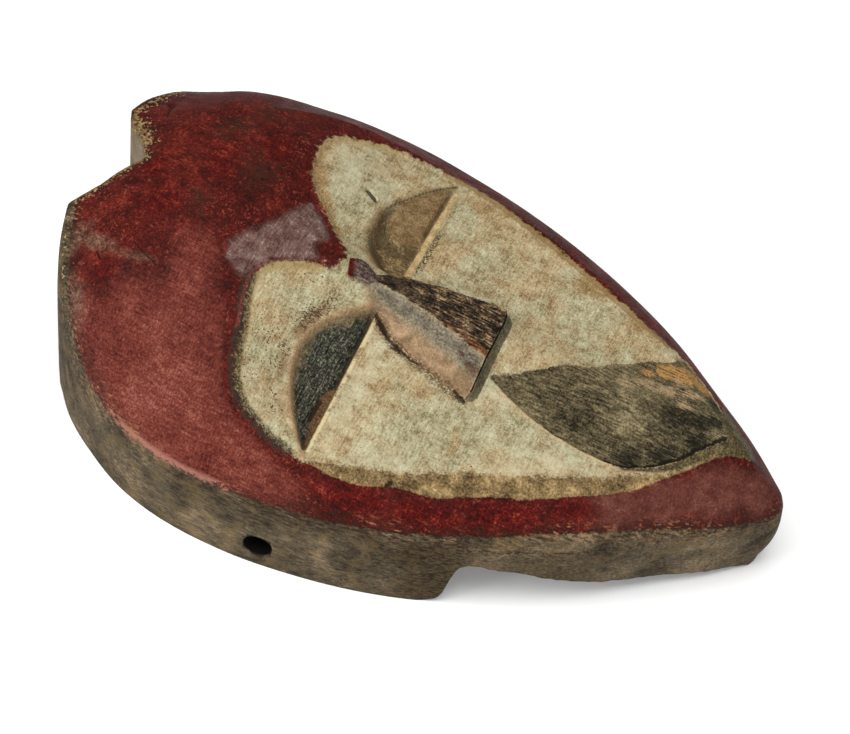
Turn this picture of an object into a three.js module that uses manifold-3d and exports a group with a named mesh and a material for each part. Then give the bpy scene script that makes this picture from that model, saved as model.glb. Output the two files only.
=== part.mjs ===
// Small carved wooden mask with a heart-shaped face, hollow at the back.
// One piece of wood: everything below joins or cuts the same solid.
//
// Frame, in millimetres: +Z runs out of the face, +Y towards the crown, -Y towards the chin.
// The mask lies face up with the flat underside of its rim on z = 0.

import * as THREE from 'three';
import { mergeVertices } from 'three/addons/utils/BufferGeometryUtils.js';
import Module from 'manifold-3d';

// Outline of the face, seen from the front
const CHIN_TIP_Y = -80;
const CHIN_SIDE_Y = -78.2;
const CROWN_SIDE_Y = 74;
const CROWN_HALF_WIDTH = 33;
const SIDE_HALF_WIDTHS = [
  [CHIN_SIDE_Y, 4.2], [-70, 11.5], [-60, 18.7], [-46, 28.6], [-32, 36], [-18, 41.8], [-4, 46.2],
  [10, 49.3], [24, 51.2], [38, 51.3], [50, 49], [60, 44.4], [68, 39.2], [CROWN_SIDE_Y, CROWN_HALF_WIDTH],
];
const NEAR_CROWN_HEIGHTS = [
  [0, 83.6], [12, 82.9], [18, 81.4], [23, 79.6], [28, 77.2], [CROWN_HALF_WIDTH, CROWN_SIDE_Y],
];
const FAR_CROWN_HEIGHTS = [
  [0, 83.6], [12, 83.4], [18, 82.4], [23, 80.6], [28, 78], [CROWN_HALF_WIDTH, CROWN_SIDE_Y],
];

// The crown leans a little to the far side (+X), whose shoulder is also the fuller one
const LEANS = [[-80, 0], [10, 0.2], [45, 1.2], [70, 1.8], [84, 2]];
const FAR_FULLNESS = [[-80, -0.3], [30, -0.3], [48, 0.9], [60, 1.8], [68, 2.2], [CROWN_SIDE_Y, 2.4]];

// How far the rows of the surface grid bend to follow the chin and the crown
const CHIN_BEND_LENGTH = 14;
const CROWN_BEND_START_Y = 16;

// Heights of the front, along the middle and down to the top of the side wall
const MIDDLE_HEIGHTS = [
  [-80, 23], [-72, 26.8], [-62, 29.4], [-45, 31], [-20, 32], [0, 32.6], [10, 33.2], [16, 34], [23, 35.6],
  [30, 38], [38, 40.3], [48, 42], [60, 42.2], [72, 40.6], [84, 38],
];
const SIDE_DROPS = [[-80, 2], [-40, 2.6], [0, 3.4], [20, 5], [38, 7], [60, 7.5], [84, 4]];
const SIDE_DROP_REACH = 40;
const WALL_TOPS = [
  [-80, 20], [-60, 21], [20, 21], [40, 20], [60, 19.5], [70, 21], [74, 24.5], [78, 29.5], [81, 33.5], [84, 36.5],
];
const BEVEL_WIDTHS = [[-80, 7], [-60, 8.5], [15, 8.5], [34, 11], [50, 15], [68, 14], [84, 8]];
const BEVEL_ROUNDNESS = [[-80, 0.5], [30, 0.45], [48, 0.5], [61, 0.9], [84, 0.9]];
const KEEL_HEIGHTS = [[8, 2.6], [18, 3.4], [25, 3.4], [33, 1.8], [42, 0]];
const KEEL_HALF_WIDTH = 7;

// Side wall and hollow back
const WALL_FLARES = [[-80, 0.05], [-15, 0.062], [15, 0.046], [40, 0.037], [84, 0.035]];
const CHIN_BULGE = 1.5;
const CHIN_BULGE_START_Y = -66;
const HOLLOW_SCALE_X = 0.85;
const HOLLOW_SCALE_Y = 0.82;
const HOLLOW_SHIFT_Y = -3;
const HOLLOW_TAPER = 0.07;
const FRONT_THICKNESS = 8.5;
const HOLLOW_CORNER = 0.42;

// Half-moon eyes: a straight lower edge, an arc above it, and a floor that dips towards the edge
const EYE_EDGE_DEPTH = 3.9;
const EYE_ARC_DEPTH = 1.2;
const NEAR_EYE = { inner: -3.4, outer: -41.4, edgeY: 14, apexX: -20, apexY: 25 };
const FAR_EYE = { inner: 5.2, outer: 36.2, edgeY: 12.8, apexX: 17.5, apexY: 25.2 };
const EYE_ARC_STEPS = 16;
const EYE_EDGE_STEPS = 8;

// Nose: rows from the bridge to the end, each with the near foot, near edge, ridge, far edge and far foot
const NOSE_ROWS = [
  { y: 17.5, near: -1.6, nearEdge: -1.2, ridge: 0.2, farEdge: 1.6, far: 2, edgeZ: 36.6, ridgeZ: 37 },
  { y: 14.5, near: -5.6, nearEdge: -3.8, ridge: -0.2, farEdge: 3.4, far: 5.2, edgeZ: 36, ridgeZ: 37.8 },
  { y: 9.8, near: -8.9, nearEdge: -4.6, ridge: -0.9, farEdge: 5, far: 7, edgeZ: 35.7, ridgeZ: 37.8 },
  { y: 4.4, near: -11.3, nearEdge: -5.8, ridge: -1.9, farEdge: 6.4, far: 8.6, edgeZ: 35.4, ridgeZ: 37.7 },
  { y: -5.2, near: -13.2, nearEdge: -8.8, ridge: -4.6, farEdge: 7.7, far: 10.2, edgeZ: 35.1, ridgeZ: 37.4 },
  { y: -10.9, near: -14.4, nearEdge: -11.4, ridge: -6.4, farEdge: 8.3, far: 11, edgeZ: 34.8, ridgeZ: 37.1 },
];
const NOSE_FOOT_Z = 31.4;
const NOSE_ROOT_Z = 26;
const NOSE_END_SLOPE = 2;

// Dark facet over the mouth and chin, cut a little lower than the near cheek
const CHIN_FACET = [[-5, -14.5], [-15.6, -47], [-10, -58], [2, -69], [11, -61], [18, -49], [9, -34]];
const CHIN_FACET_FAR_DEPTH = 0.1;
const CHIN_FACET_NEAR_DEPTH = 1.3;
const CHIN_FACET_WIDTH = 22;

// Notch between the two lobes of the crown
const NOTCH = [
  [-13, 90], [-11.4, 82.4], [-8.6, 80.6], [-5.4, 78.4], [-2, 76.8], [0.8, 75.1], [4.2, 72.6],
  [9.2, 76.4], [11.8, 79], [13.2, 81.2], [14.6, 83.4], [16, 90],
];

// Tie holes drilled through both side walls
const TIE_HOLE_DIAMETER = 6.2;
const TIE_HOLE_Y = 16.9;
const TIE_HOLE_X = 51.2;
const TIE_HOLE_Z = 7.2;
const TIE_HOLE_REACH = 24;
const TIE_HOLE_SIDES = 20;

// Piece broken out of the near rim, as a side profile of y and z
const RIM_BREAK = [
  [-79.4, -2], [-79, 1], [-74.6, 2.6], [-69, 3.6], [-63, 5.2], [-57.4, 5.8], [-51.7, 6.6], [-45.9, 8.8],
  [-39.8, 11], [-36.6, 12.7], [-30.8, 13.9], [-27.8, 14.7], [-24.8, 15.5], [-23.2, 14.6], [-22.4, 12.5],
  [-21.9, 6], [-21.3, 0], [-21.2, -2],
];
const RIM_BREAK_INNER_X = -2;
const RIM_BREAK_REACH = 70;

// Cutters run past the wood, below its underside and above its face
const CUT_BELOW_Z = -2;
const CUT_ABOVE_Z = 60;

// Grid lines of the two shaped boxes, and how strongly they crowd towards the edges
const EDGE_CROWDING = 0.55;
const BODY_GRID = { across: 30, along: 44, down: 4 };
const HOLLOW_GRID = { across: 20, along: 28, down: 4 };

const wasm = await Module();
wasm.setup();

// Smooth curve through stations of [position, value]
function smoothThrough(stations, position) {
  const last = stations.length - 1;
  const p = THREE.MathUtils.clamp(position, stations[0][0], stations[last][0]);
  let i = 0;
  while (i < last - 1 && p > stations[i + 1][0]) {
    i += 1;
  }
  const slopeAt = (k) => {
    const a = stations[Math.max(k - 1, 0)];
    const b = stations[Math.min(k + 1, last)];
    return (b[1] - a[1]) / (b[0] - a[0]);
  };
  const [p0, v0] = stations[i];
  const [p1, v1] = stations[i + 1];
  const span = p1 - p0;
  const t = (p - p0) / span;
  const t2 = t * t;
  const t3 = t2 * t;
  return (2 * t3 - 3 * t2 + 1) * v0 + (t3 - 2 * t2 + t) * span * slopeAt(i)
    + (3 * t2 - 2 * t3) * v1 + (t3 - t2) * span * slopeAt(i + 1);
}

// Place on the front for grid position u (across) and v (along), both from -1 to 1
function facePoint(u, v) {
  const sideY = THREE.MathUtils.mapLinear(v, -1, 1, CHIN_SIDE_Y, CROWN_SIDE_Y);
  const halfWidth = smoothThrough(SIDE_HALF_WIDTHS, sideY);
  const chinBend = Math.max(0, 1 - (sideY - CHIN_SIDE_Y) / CHIN_BEND_LENGTH) ** 2;
  const crownBend = Math.max(0, (sideY - CROWN_BEND_START_Y) / (CROWN_SIDE_Y - CROWN_BEND_START_Y)) ** 2;
  const crown = u < 0 ? NEAR_CROWN_HEIGHTS : FAR_CROWN_HEIGHTS;
  const crownRise = smoothThrough(crown, Math.abs(u) * CROWN_HALF_WIDTH) - CROWN_SIDE_Y;
  const chinRise = (CHIN_TIP_Y - CHIN_SIDE_Y) * (1 - u * u);
  const fullness = Math.max(u, 0) * smoothThrough(FAR_FULLNESS, sideY);
  const x = u * halfWidth + fullness + smoothThrough(LEANS, sideY);
  return new THREE.Vector2(x, sideY + chinBend * chinRise + crownBend * crownRise);
}

// Closed outline as a list of segments, to measure how far a place is from the edge
function outlinePoints(steps) {
  const points = [];
  for (let i = 0; i < steps; i += 1) {
    points.push(facePoint(-1 + (2 * i) / steps, -1));
  }
  for (let i = 0; i < 2 * steps; i += 1) {
    points.push(facePoint(1, -1 + i / steps));
  }
  for (let i = 0; i < steps; i += 1) {
    points.push(facePoint(1 - (2 * i) / steps, 1));
  }
  for (let i = 0; i < 2 * steps; i += 1) {
    points.push(facePoint(-1, 1 - i / steps));
  }
  return points;
}

const OUTLINE = outlinePoints(40);

function distanceToEdge(x, y) {
  const place = new THREE.Vector3(x, y, 0);
  const nearest = new THREE.Vector3();
  let best = Infinity;
  OUTLINE.forEach((start, i) => {
    const end = OUTLINE[(i + 1) % OUTLINE.length];
    const side = new THREE.Line3(new THREE.Vector3(start.x, start.y, 0), new THREE.Vector3(end.x, end.y, 0));
    side.closestPointToPoint(place, true, nearest);
    best = Math.min(best, nearest.distanceTo(place));
  });
  return best;
}

// Height of the front before the bevel along its edge
function fieldHeight(x, y) {
  const drop = smoothThrough(SIDE_DROPS, y) * (x / SIDE_DROP_REACH) ** 2;
  const keel = smoothThrough(KEEL_HEIGHTS, y) * Math.exp(-((x / KEEL_HALF_WIDTH) ** 2));
  return smoothThrough(MIDDLE_HEIGHTS, y) - drop + keel;
}

function faceHeight(x, y) {
  const wallTop = smoothThrough(WALL_TOPS, y);
  const share = Math.min(distanceToEdge(x, y) / smoothThrough(BEVEL_WIDTHS, y), 1);
  const rounded = Math.sqrt(1 - (1 - share) ** 2);
  const rise = THREE.MathUtils.lerp(share, rounded, smoothThrough(BEVEL_ROUNDNESS, y));
  return wallTop + (fieldHeight(x, y) - wallTop) * rise;
}

// Closer grid lines towards the edges, where the surface turns over
function crowdEdges(t) {
  return THREE.MathUtils.lerp(t, Math.sin((t * Math.PI) / 2), EDGE_CROWDING);
}

// A box whose grid points are moved by place(u, v, w), with w = 1 on top and w = -1 below
function shapedBox(grid, place) {
  const box = new THREE.BoxGeometry(2, 2, 2, grid.across, grid.along, grid.down);
  const position = box.getAttribute('position');
  for (let i = 0; i < position.count; i += 1) {
    const u = crowdEdges(position.getX(i));
    const v = crowdEdges(position.getY(i));
    position.setXYZ(i, ...place(u, v, position.getZ(i)));
  }
  return box;
}

// A flat outline raised between two heights, each a function of x and y
function raisedOutline(points, bottom, top) {
  const shape = new THREE.Shape(points.map(([x, y]) => new THREE.Vector2(x, y)));
  const prism = new THREE.ExtrudeGeometry(shape, { depth: 1, bevelEnabled: false });
  const position = prism.getAttribute('position');
  for (let i = 0; i < position.count; i += 1) {
    const x = position.getX(i);
    const y = position.getY(i);
    position.setZ(i, position.getZ(i) < 0.5 ? bottom(x, y) : top(x, y));
  }
  return prism;
}

function toSolid(geometry) {
  const bare = geometry.clone();
  bare.deleteAttribute('normal');
  bare.deleteAttribute('uv');
  const merged = mergeVertices(bare, 1e-4);
  const mesh = new wasm.Mesh({
    numProp: 3,
    vertProperties: new Float32Array(merged.getAttribute('position').array),
    triVerts: new Uint32Array(merged.getIndex().array),
  });
  return new wasm.Manifold(mesh);
}

function toGeometry(solid) {
  const mesh = solid.getMesh();
  const geometry = new THREE.BufferGeometry();
  geometry.setAttribute('position', new THREE.BufferAttribute(new Float32Array(mesh.vertProperties), 3));
  geometry.setIndex(new THREE.BufferAttribute(new Uint32Array(mesh.triVerts), 1));
  geometry.computeVertexNormals();
  return geometry;
}

function blockOfWood() {
  return shapedBox(BODY_GRID, (u, v, w) => {
    const { x, y } = facePoint(u, v);
    if (w > 0.999) {
      return [x, y, faceHeight(x, y)];
    }
    const down = (1 - w) / 2;
    const flare = 1 + smoothThrough(WALL_FLARES, y) * Math.sqrt(down);
    const nearChin = THREE.MathUtils.clamp((CHIN_BULGE_START_Y - y) / (CHIN_BULGE_START_Y - CHIN_TIP_Y), 0, 1);
    const bulge = CHIN_BULGE * nearChin * Math.sin(Math.PI * Math.min(down, 0.85));
    return [x * flare, y - bulge, smoothThrough(WALL_TOPS, y) * (1 - down)];
  });
}

function hollowBack() {
  return shapedBox(HOLLOW_GRID, (u, v, w) => {
    const point = facePoint(u, v);
    const up = (w + 1) / 2;
    const narrowing = 1 - HOLLOW_TAPER * up * up;
    const x = point.x * HOLLOW_SCALE_X * narrowing;
    const y = point.y * HOLLOW_SCALE_Y * narrowing + HOLLOW_SHIFT_Y;
    const ceiling = fieldHeight(0, y) - FRONT_THICKNESS - smoothThrough(KEEL_HEIGHTS, y);
    const corner = HOLLOW_CORNER * Math.max(Math.abs(u), Math.abs(v)) ** 4;
    const height = ceiling * (1 - corner);
    return [x, y, THREE.MathUtils.lerp(CUT_BELOW_Z, height, up)];
  });
}

function eyeHollow(eye) {
  const arc = new THREE.QuadraticBezierCurve(
    new THREE.Vector2(eye.outer, eye.edgeY),
    new THREE.Vector2(2 * eye.apexX - (eye.outer + eye.inner) / 2, 2 * eye.apexY - eye.edgeY),
    new THREE.Vector2(eye.inner, eye.edgeY),
  );
  const points = arc.getPoints(EYE_ARC_STEPS).map((point) => [point.x, point.y]);
  for (let i = 1; i < EYE_EDGE_STEPS; i += 1) {
    points.push([THREE.MathUtils.lerp(eye.inner, eye.outer, i / EYE_EDGE_STEPS), eye.edgeY]);
  }
  const floor = (x, y) => {
    const inside = Math.abs(x - eye.outer) > 0.01 && Math.abs(x - eye.inner) > 0.01;
    const onEdge = inside && Math.abs(y - eye.edgeY) < 0.01;
    return faceHeight(x, y) - (onEdge ? EYE_EDGE_DEPTH : EYE_ARC_DEPTH);
  };
  return raisedOutline(points, floor, () => CUT_ABOVE_Z);
}

function nose() {
  const rings = NOSE_ROWS.map((row, i) => {
    const lean = i === NOSE_ROWS.length - 1 ? NOSE_END_SLOPE : 0;
    return [
      [row.near, row.y - lean, NOSE_ROOT_Z],
      [row.near, row.y - lean, NOSE_FOOT_Z],
      [row.nearEdge, row.y, row.edgeZ],
      [row.ridge, row.y, row.ridgeZ],
      [row.farEdge, row.y, row.edgeZ + 0.6],
      [row.far, row.y - lean, NOSE_FOOT_Z],
      [row.far, row.y - lean, NOSE_ROOT_Z],
    ];
  });
  const size = rings[0].length;
  const indices = [];
  for (let r = 0; r < rings.length - 1; r += 1) {
    for (let k = 0; k < size; k += 1) {
      const a = r * size + k;
      const b = r * size + ((k + 1) % size);
      indices.push(a, a + size, b, b, a + size, b + size);
    }
  }
  const end = (rings.length - 1) * size;
  for (let k = 1; k < size - 1; k += 1) {
    indices.push(0, k, k + 1);
    indices.push(end, end + k + 1, end + k);
  }
  const geometry = new THREE.BufferGeometry();
  geometry.setAttribute('position', new THREE.Float32BufferAttribute(rings.flat(2), 3));
  geometry.setIndex(indices);
  return geometry;
}

function chinFacet() {
  const apex = new THREE.Vector2(...CHIN_FACET[0]);
  const farEdge = new THREE.Vector2(...CHIN_FACET[CHIN_FACET.length - 2]).sub(apex).normalize();
  const floor = (x, y) => {
    const fromFarEdge = Math.abs(new THREE.Vector2(x, y).sub(apex).cross(farEdge));
    const share = Math.min(fromFarEdge / CHIN_FACET_WIDTH, 1);
    return faceHeight(x, y) - THREE.MathUtils.lerp(CHIN_FACET_FAR_DEPTH, CHIN_FACET_NEAR_DEPTH, share);
  };
  return raisedOutline(CHIN_FACET, floor, () => CUT_ABOVE_Z);
}

function crownNotch() {
  return raisedOutline(NOTCH, () => CUT_BELOW_Z, () => CUT_ABOVE_Z);
}

// One drilled hole, running across from the outside of the wall into the hollow
function tieHole(side) {
  const radius = TIE_HOLE_DIAMETER / 2;
  const drill = new THREE.CylinderGeometry(radius, radius, TIE_HOLE_REACH, TIE_HOLE_SIDES);
  drill.rotateZ(Math.PI / 2);
  drill.translate(side * TIE_HOLE_X, TIE_HOLE_Y, TIE_HOLE_Z);
  return drill;
}

function rimBreak() {
  const profile = new THREE.Shape(RIM_BREAK.map(([y, z]) => new THREE.Vector2(y, z)));
  const slab = new THREE.ExtrudeGeometry(profile, { depth: RIM_BREAK_REACH, bevelEnabled: false });
  slab.rotateX(Math.PI / 2);
  slab.rotateZ(Math.PI / 2);
  slab.translate(RIM_BREAK_INNER_X - RIM_BREAK_REACH, 0, 0);
  return slab;
}

function carvedMask() {
  let wood = toSolid(blockOfWood());
  wood = wood.subtract(toSolid(eyeHollow(NEAR_EYE)));
  wood = wood.subtract(toSolid(eyeHollow(FAR_EYE)));
  wood = wood.subtract(toSolid(chinFacet()));
  wood = wood.add(toSolid(nose()));
  wood = wood.subtract(toSolid(hollowBack()));
  wood = wood.subtract(toSolid(crownNotch()));
  wood = wood.subtract(toSolid(tieHole(-1)));
  wood = wood.subtract(toSolid(tieHole(1)));
  wood = wood.subtract(toSolid(rimBreak()));
  return toGeometry(wood);
}

const paintedWood = new THREE.MeshStandardMaterial({ color: 0x7a3a30, roughness: 0.62, metalness: 0 });
const mask = new THREE.Mesh(carvedMask(), paintedWood);
mask.name = 'mask';

// Centre the outline lengthwise on the origin
mask.geometry.computeBoundingBox();
const middle = mask.geometry.boundingBox.getCenter(new THREE.Vector3());
mask.position.set(-middle.x, -middle.y, 0);

const model = new THREE.Group();
model.add(mask);

export default model;
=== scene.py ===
# Looks of the small carved wooden mask: one dense carved piece that stands for the plain solid,
# painted with red ochre, kaolin white and soot over olive-brown wood.
#
# Lengths are in millimetres in the carver's frame, as in the part's source: +Z runs out of the
# face, +Y to the crown, -X is the side nearer the camera. They become metres at the very end.

import math

import bmesh
import bpy
import numpy as np
from mathutils import Matrix, Vector, noise


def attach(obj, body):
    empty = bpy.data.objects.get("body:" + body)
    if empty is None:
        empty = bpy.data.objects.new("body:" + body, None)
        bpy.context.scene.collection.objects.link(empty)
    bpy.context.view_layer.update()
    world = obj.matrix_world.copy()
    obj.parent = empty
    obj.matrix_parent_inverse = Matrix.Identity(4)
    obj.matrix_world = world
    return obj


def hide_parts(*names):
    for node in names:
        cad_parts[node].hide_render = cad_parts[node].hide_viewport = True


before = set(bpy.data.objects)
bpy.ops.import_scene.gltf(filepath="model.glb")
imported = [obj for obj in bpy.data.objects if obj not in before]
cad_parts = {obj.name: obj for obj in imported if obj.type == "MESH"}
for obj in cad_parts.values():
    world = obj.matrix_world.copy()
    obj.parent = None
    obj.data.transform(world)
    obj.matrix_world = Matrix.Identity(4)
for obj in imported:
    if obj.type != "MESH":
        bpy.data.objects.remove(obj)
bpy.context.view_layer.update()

MM = 0.001
# The part's source centres the outline on the origin, and this is the step it takes
CENTRE_SHIFT = (0.744, 0.967)

# Camera
CAMERA_PLACE = (-216.94, -39.27, 340.8)
CAMERA_DIP = math.radians(55.95)
CAMERA_TURN = math.radians(10.6)
CAMERA_ROLL = math.radians(14.85)
CAMERA_LENS = 76.24


def set_camera():
    dip, turn = CAMERA_DIP, CAMERA_TURN
    ahead = Vector((math.cos(dip) * math.cos(turn), math.cos(dip) * math.sin(turn), -math.sin(dip)))
    right = Vector((math.sin(turn), -math.cos(turn), 0))
    down = ahead.cross(right)
    rolled_right = right * math.cos(CAMERA_ROLL) - down * math.sin(CAMERA_ROLL)
    rolled_down = right * math.sin(CAMERA_ROLL) + down * math.cos(CAMERA_ROLL)
    data = bpy.data.cameras.new("camera")
    data.lens = CAMERA_LENS
    data.sensor_width = 36
    data.clip_start = 0.01
    camera = bpy.data.objects.new("camera", data)
    bpy.context.scene.collection.objects.link(camera)
    turned = Matrix((rolled_right, -rolled_down, -ahead)).transposed().to_4x4()
    camera.matrix_world = Matrix.Translation(Vector(CAMERA_PLACE) * MM) @ turned
    bpy.context.scene.camera = camera


# The outline and the heights
CHIN_TIP_Y = -80
CHIN_SIDE_Y = -78.2
CROWN_SIDE_Y = 74
CROWN_HALF_WIDTH = 33
SIDE_HALF_WIDTHS = (
    (CHIN_SIDE_Y, 4.2), (-70, 11.5), (-60, 18.7), (-46, 28.6), (-32, 36), (-18, 41.8), (-4, 46.2),
    (10, 49.3), (24, 51.2), (38, 51.3), (50, 49), (60, 44.4), (68, 39.2), (CROWN_SIDE_Y, CROWN_HALF_WIDTH),
)
NEAR_CROWN_HEIGHTS = (
    (0, 83.6), (12, 82.9), (18, 81.4), (23, 79.6), (28, 77.2), (CROWN_HALF_WIDTH, CROWN_SIDE_Y),
)
FAR_CROWN_HEIGHTS = (
    (0, 83.6), (12, 83.4), (18, 82.4), (23, 80.6), (28, 78), (CROWN_HALF_WIDTH, CROWN_SIDE_Y),
)
NOTCH_DEPTHS = (
    (-16, 84), (-11.4, 82.4), (-8.6, 80.6), (-5.4, 78.4), (-2, 76.8), (0.8, 75.1), (4.2, 72.6),
    (9.2, 76.4), (11.8, 79), (13, 80.6), (14.4, 81.8), (16.4, 82.7), (19, 83.8),
)
LEANS = ((-80, 0), (10, 0.2), (45, 1.2), (70, 1.8), (84, 2))
FAR_FULLNESS = ((-80, -0.3), (30, -0.3), (48, 0.9), (60, 1.8), (68, 2.2), (CROWN_SIDE_Y, 2.4))
CHIN_BEND_LENGTH = 14
CROWN_BEND_START_Y = 16

MIDDLE_HEIGHTS = (
    (-80, 23), (-72, 26.8), (-62, 29.4), (-45, 31), (-20, 32), (0, 32.6), (10, 33.2), (16, 34), (23, 35.6),
    (30, 38), (38, 40.3), (48, 42), (60, 42.2), (72, 40.6), (84, 38),
)
SIDE_DROPS = ((-80, 2), (-40, 2.6), (0, 3.4), (20, 5), (38, 7), (60, 7.5), (84, 4))
SIDE_DROP_REACH = 40
WALL_TOPS = (
    (-80, 20), (-60, 21), (20, 21), (40, 20), (60, 19.5), (70, 21), (74, 24.5), (78, 29.5), (81, 33.5),
    (84, 36.5),
)
BEVEL_WIDTHS = ((-80, 7), (-60, 8.5), (15, 8.5), (34, 11), (50, 15), (68, 14), (84, 8))
BEVEL_ROUNDNESS = ((-80, 0.5), (30, 0.45), (48, 0.5), (61, 0.9), (84, 0.9))
KEEL_HEIGHTS = ((8, 2.6), (18, 3.4), (25, 3.4), (33, 1.8), (42, 0))
KEEL_HALF_WIDTH = 7

WALL_FLARES = ((-80, 0.05), (-15, 0.062), (15, 0.046), (40, 0.037), (84, 0.035))
CHIN_BULGE = 1.5
CHIN_BULGE_START_Y = -66
CHIN_BULGE_ENDS = 0.85
HOLLOW_SCALE_X = 0.85
HOLLOW_SCALE_Y = 0.82
HOLLOW_SHIFT_Y = -3
HOLLOW_TAPER = 0.07
FRONT_THICKNESS = 8.5
HOLLOW_CORNER = 0.42

# Half-moon eyes: a straight lower edge and an arc above it
EYE_EDGE_DEPTH = 3.9
EYE_ARC_DEPTH = 1.1
EYE_FLOOR_FULLNESS = 0.8
BROW_DIP_DEPTH = 0.35
BROW_DIP_FROM_ARC = 3
BROW_DIP_HALF_WIDTH = 1.8
NEAR_EYE = {"inner": -3.4, "outer": -40.4, "edge_y": 14, "apex_x": -20, "apex_y": 25}
FAR_EYE = {"inner": 4.6, "outer": 38.6, "edge_y": 12.8}
FAR_EYE_RIM = (
    (38.7, 12.8), (35.8, 16), (31.9, 18.6), (27.6, 21), (25, 22.4), (22.2, 23.6), (17.8, 24.4),
    (13.9, 24.5), (10.2, 23.5), (7.1, 21.3), (4.6, 18.4), (4, 15.2), (4.6, 12.8),
)
FAR_BOWL_DEPTH = 2.9
FAR_BOWL_RUN = 3.6
FAR_LID = (
    (38.6, 12.6), (35.6, 15.8), (31.9, 18.3), (27.6, 20.7), (24.8, 22), (21.4, 22.4), (18.2, 21.4),
    (16.4, 19.4), (16.2, 17), (17, 14.8), (18.5, 12.6),
)
FAR_LID_RISE = 2.3
FAR_LID_RUN = 1.7
FAR_GROOVE = FAR_EYE_RIM[:6]
FAR_GROOVE_DEPTH = 0.5
FAR_GROOVE_HALF_WIDTH = 0.4
FAR_LIP = ((6.4, 12.1), (20, 12.1), (35.6, 11.8))
FAR_LIP_HALF_WIDTH = 0.85
FAR_LIP_RISE = 0.45
LIP_GROOVE = ((9.5, 10.7), (18, 10.7), (28, 10.6), (34, 10.4))
LIP_GROOVE_DEPTH = 0.3
LIP_GROOVE_HALF_WIDTH = 0.5

# Nose rows: y, then x of the near foot, near edge, ridge, far edge and far foot, then the two heights
NOSE_ROWS = (
    (17.5, -1.6, -1.2, 0.2, 1.6, 2, 36.6, 37), (14.5, -5.6, -3.8, -0.2, 3.4, 5.2, 36, 37.8),
    (9.8, -8.9, -4.6, -0.9, 5, 7, 35.7, 37.8), (4.4, -11.3, -5.8, -1.9, 6.4, 8.6, 35.4, 37.7),
    (-5.2, -13.2, -8.8, -4.6, 7.7, 10.2, 35.1, 37.4), (-11.2, -14.4, -11.4, -6.4, 8.3, 11, 34.8, 37.1),
)
NO_NOSE = -99.0
NOSE_FOOT_Z = 31.4
NOSE_FAR_EDGE_LIFT = 0.6
NOSE_FLANK_FULLNESS = 0.8
NOSE_END_SLOPE = 2
NOSE_END = (
    (-14.6, -10), (-12.6, -10.9), (-7.5, -10.9), (2, -10.9), (5.2, -10.9), (7.2, -10.6), (8.3, -9.9),
    (9.2, -8.4), (11.2, -4.5),
)
BRIDGE_BLEND = ((-14, 0.25), (4, 0.3), (12, 1.2), (18, 1.6))

CHIN_FACET = (
    (-7.4, -12.6), (-9.8, -18), (-11.9, -23.9), (-13.4, -30), (-14, -36), (-14.1, -41.5), (-13.6, -45.2),
    (-10.4, -51), (-6.3, -55.8), (-1.2, -59.8), (2.9, -63.2), (11.2, -60.4), (15.4, -55.8), (19.6, -49),
    (16.2, -46.1), (13.7, -41.8), (8.2, -34.4), (4.6, -31), (1.8, -26), (-1.9, -21.4), (-5, -16.6),
)
CHIN_STEP = CHIN_FACET[:9]
CHIN_STEP_DEPTH = 1.2
CHIN_STEP_HOLDS = 3
CHIN_STEP_REACH = 16

TIE_HOLE_DIAMETER = 6.2
TIE_HOLE_Y = 16.9
TIE_HOLE_X = 51.2
TIE_HOLE_Z = 7.2
TIE_HOLE_REACH = 24
TIE_HOLE_SIDES = 40
BORE_FROM_X = 30

RIM_BREAK = (
    (-79.4, 0), (-79, 1), (-74.6, 2.6), (-69, 3.6), (-63, 5.2), (-57.4, 5.8), (-51.7, 6.6), (-45.9, 8.8),
    (-39.8, 11), (-36.6, 12.7), (-30.8, 13.9), (-27.8, 14.7), (-24.8, 15.5), (-23.2, 14.6), (-22.4, 12.5),
    (-21.9, 6), (-21.5, 3.2), (-20.7, 1.6), (-19, 0.6), (-17, 0),
)

# The white field, as a closed line round the face, and where its cream part ends on the near side
HEART = (
    (1, 24.6), (-1.4, 25.2), (-3, 26.4), (-2.9, 28), (-3.6, 30.4), (-5, 33.4), (-7.3, 36.7), (-9.7, 38.6),
    (-12.9, 39.4), (-17.6, 38.4), (-22.5, 36.6), (-27.1, 35.4), (-31.7, 33.9), (-35.4, 31.3), (-37.6, 28.2),
    (-38.8, 25), (-39.9, 21.3), (-40.6, 17.7), (-41.2, 12.6), (-41.5, 6.4), (-40.6, 0.8), (-38.9, -3.6),
    (-37.6, -8.4), (-36.9, -13), (-34.8, -17.4), (-31.7, -23.5), (-29.2, -29.7), (-25.9, -35.6),
    (-23, -40.4), (-20, -45.3), (-16.1, -50.1), (-11.7, -54), (-7, -58.3), (-3.1, -61.9), (0.1, -65.3),
    (1.6, -68.4), (4.4, -67), (11.2, -60.7), (15.9, -55.6), (19.6, -49.4), (21.2, -43.6), (23.4, -36.8),
    (28.1, -25.5), (32.9, -14.2), (36.7, -3.4), (39.2, 4), (40.6, 10), (41.2, 16), (40.9, 23.1),
    (39.8, 28.3), (37.9, 33), (35.4, 37.6), (32.4, 40.9), (28.9, 42.2), (24, 41.8), (18.3, 40.2),
    (14.4, 37.6), (11.2, 34.1), (7.4, 30.3), (4.5, 26.8), (2.8, 24.8),
)
CREAM_NEAR_EDGE = (
    (-44, 13.2), (-40.3, 12), (-40, 9), (-38.3, 4.4), (-36.6, -1), (-34.5, -7.9), (-31.2, -13.6),
    (-28.5, -19.7), (-25.8, -26), (-21.6, -34.2), (-17, -43.6), (-14.6, -47), (-9, -56),
)
CREAM_FAR_CORNERS = ((60, -56), (60, 90), (-60, 90), (-60, 13.2))
RECESS_DEPTH = 0.7
RECESS_RUN = 0.9
RECESS_STARTS_Y = (8, 24)

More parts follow.
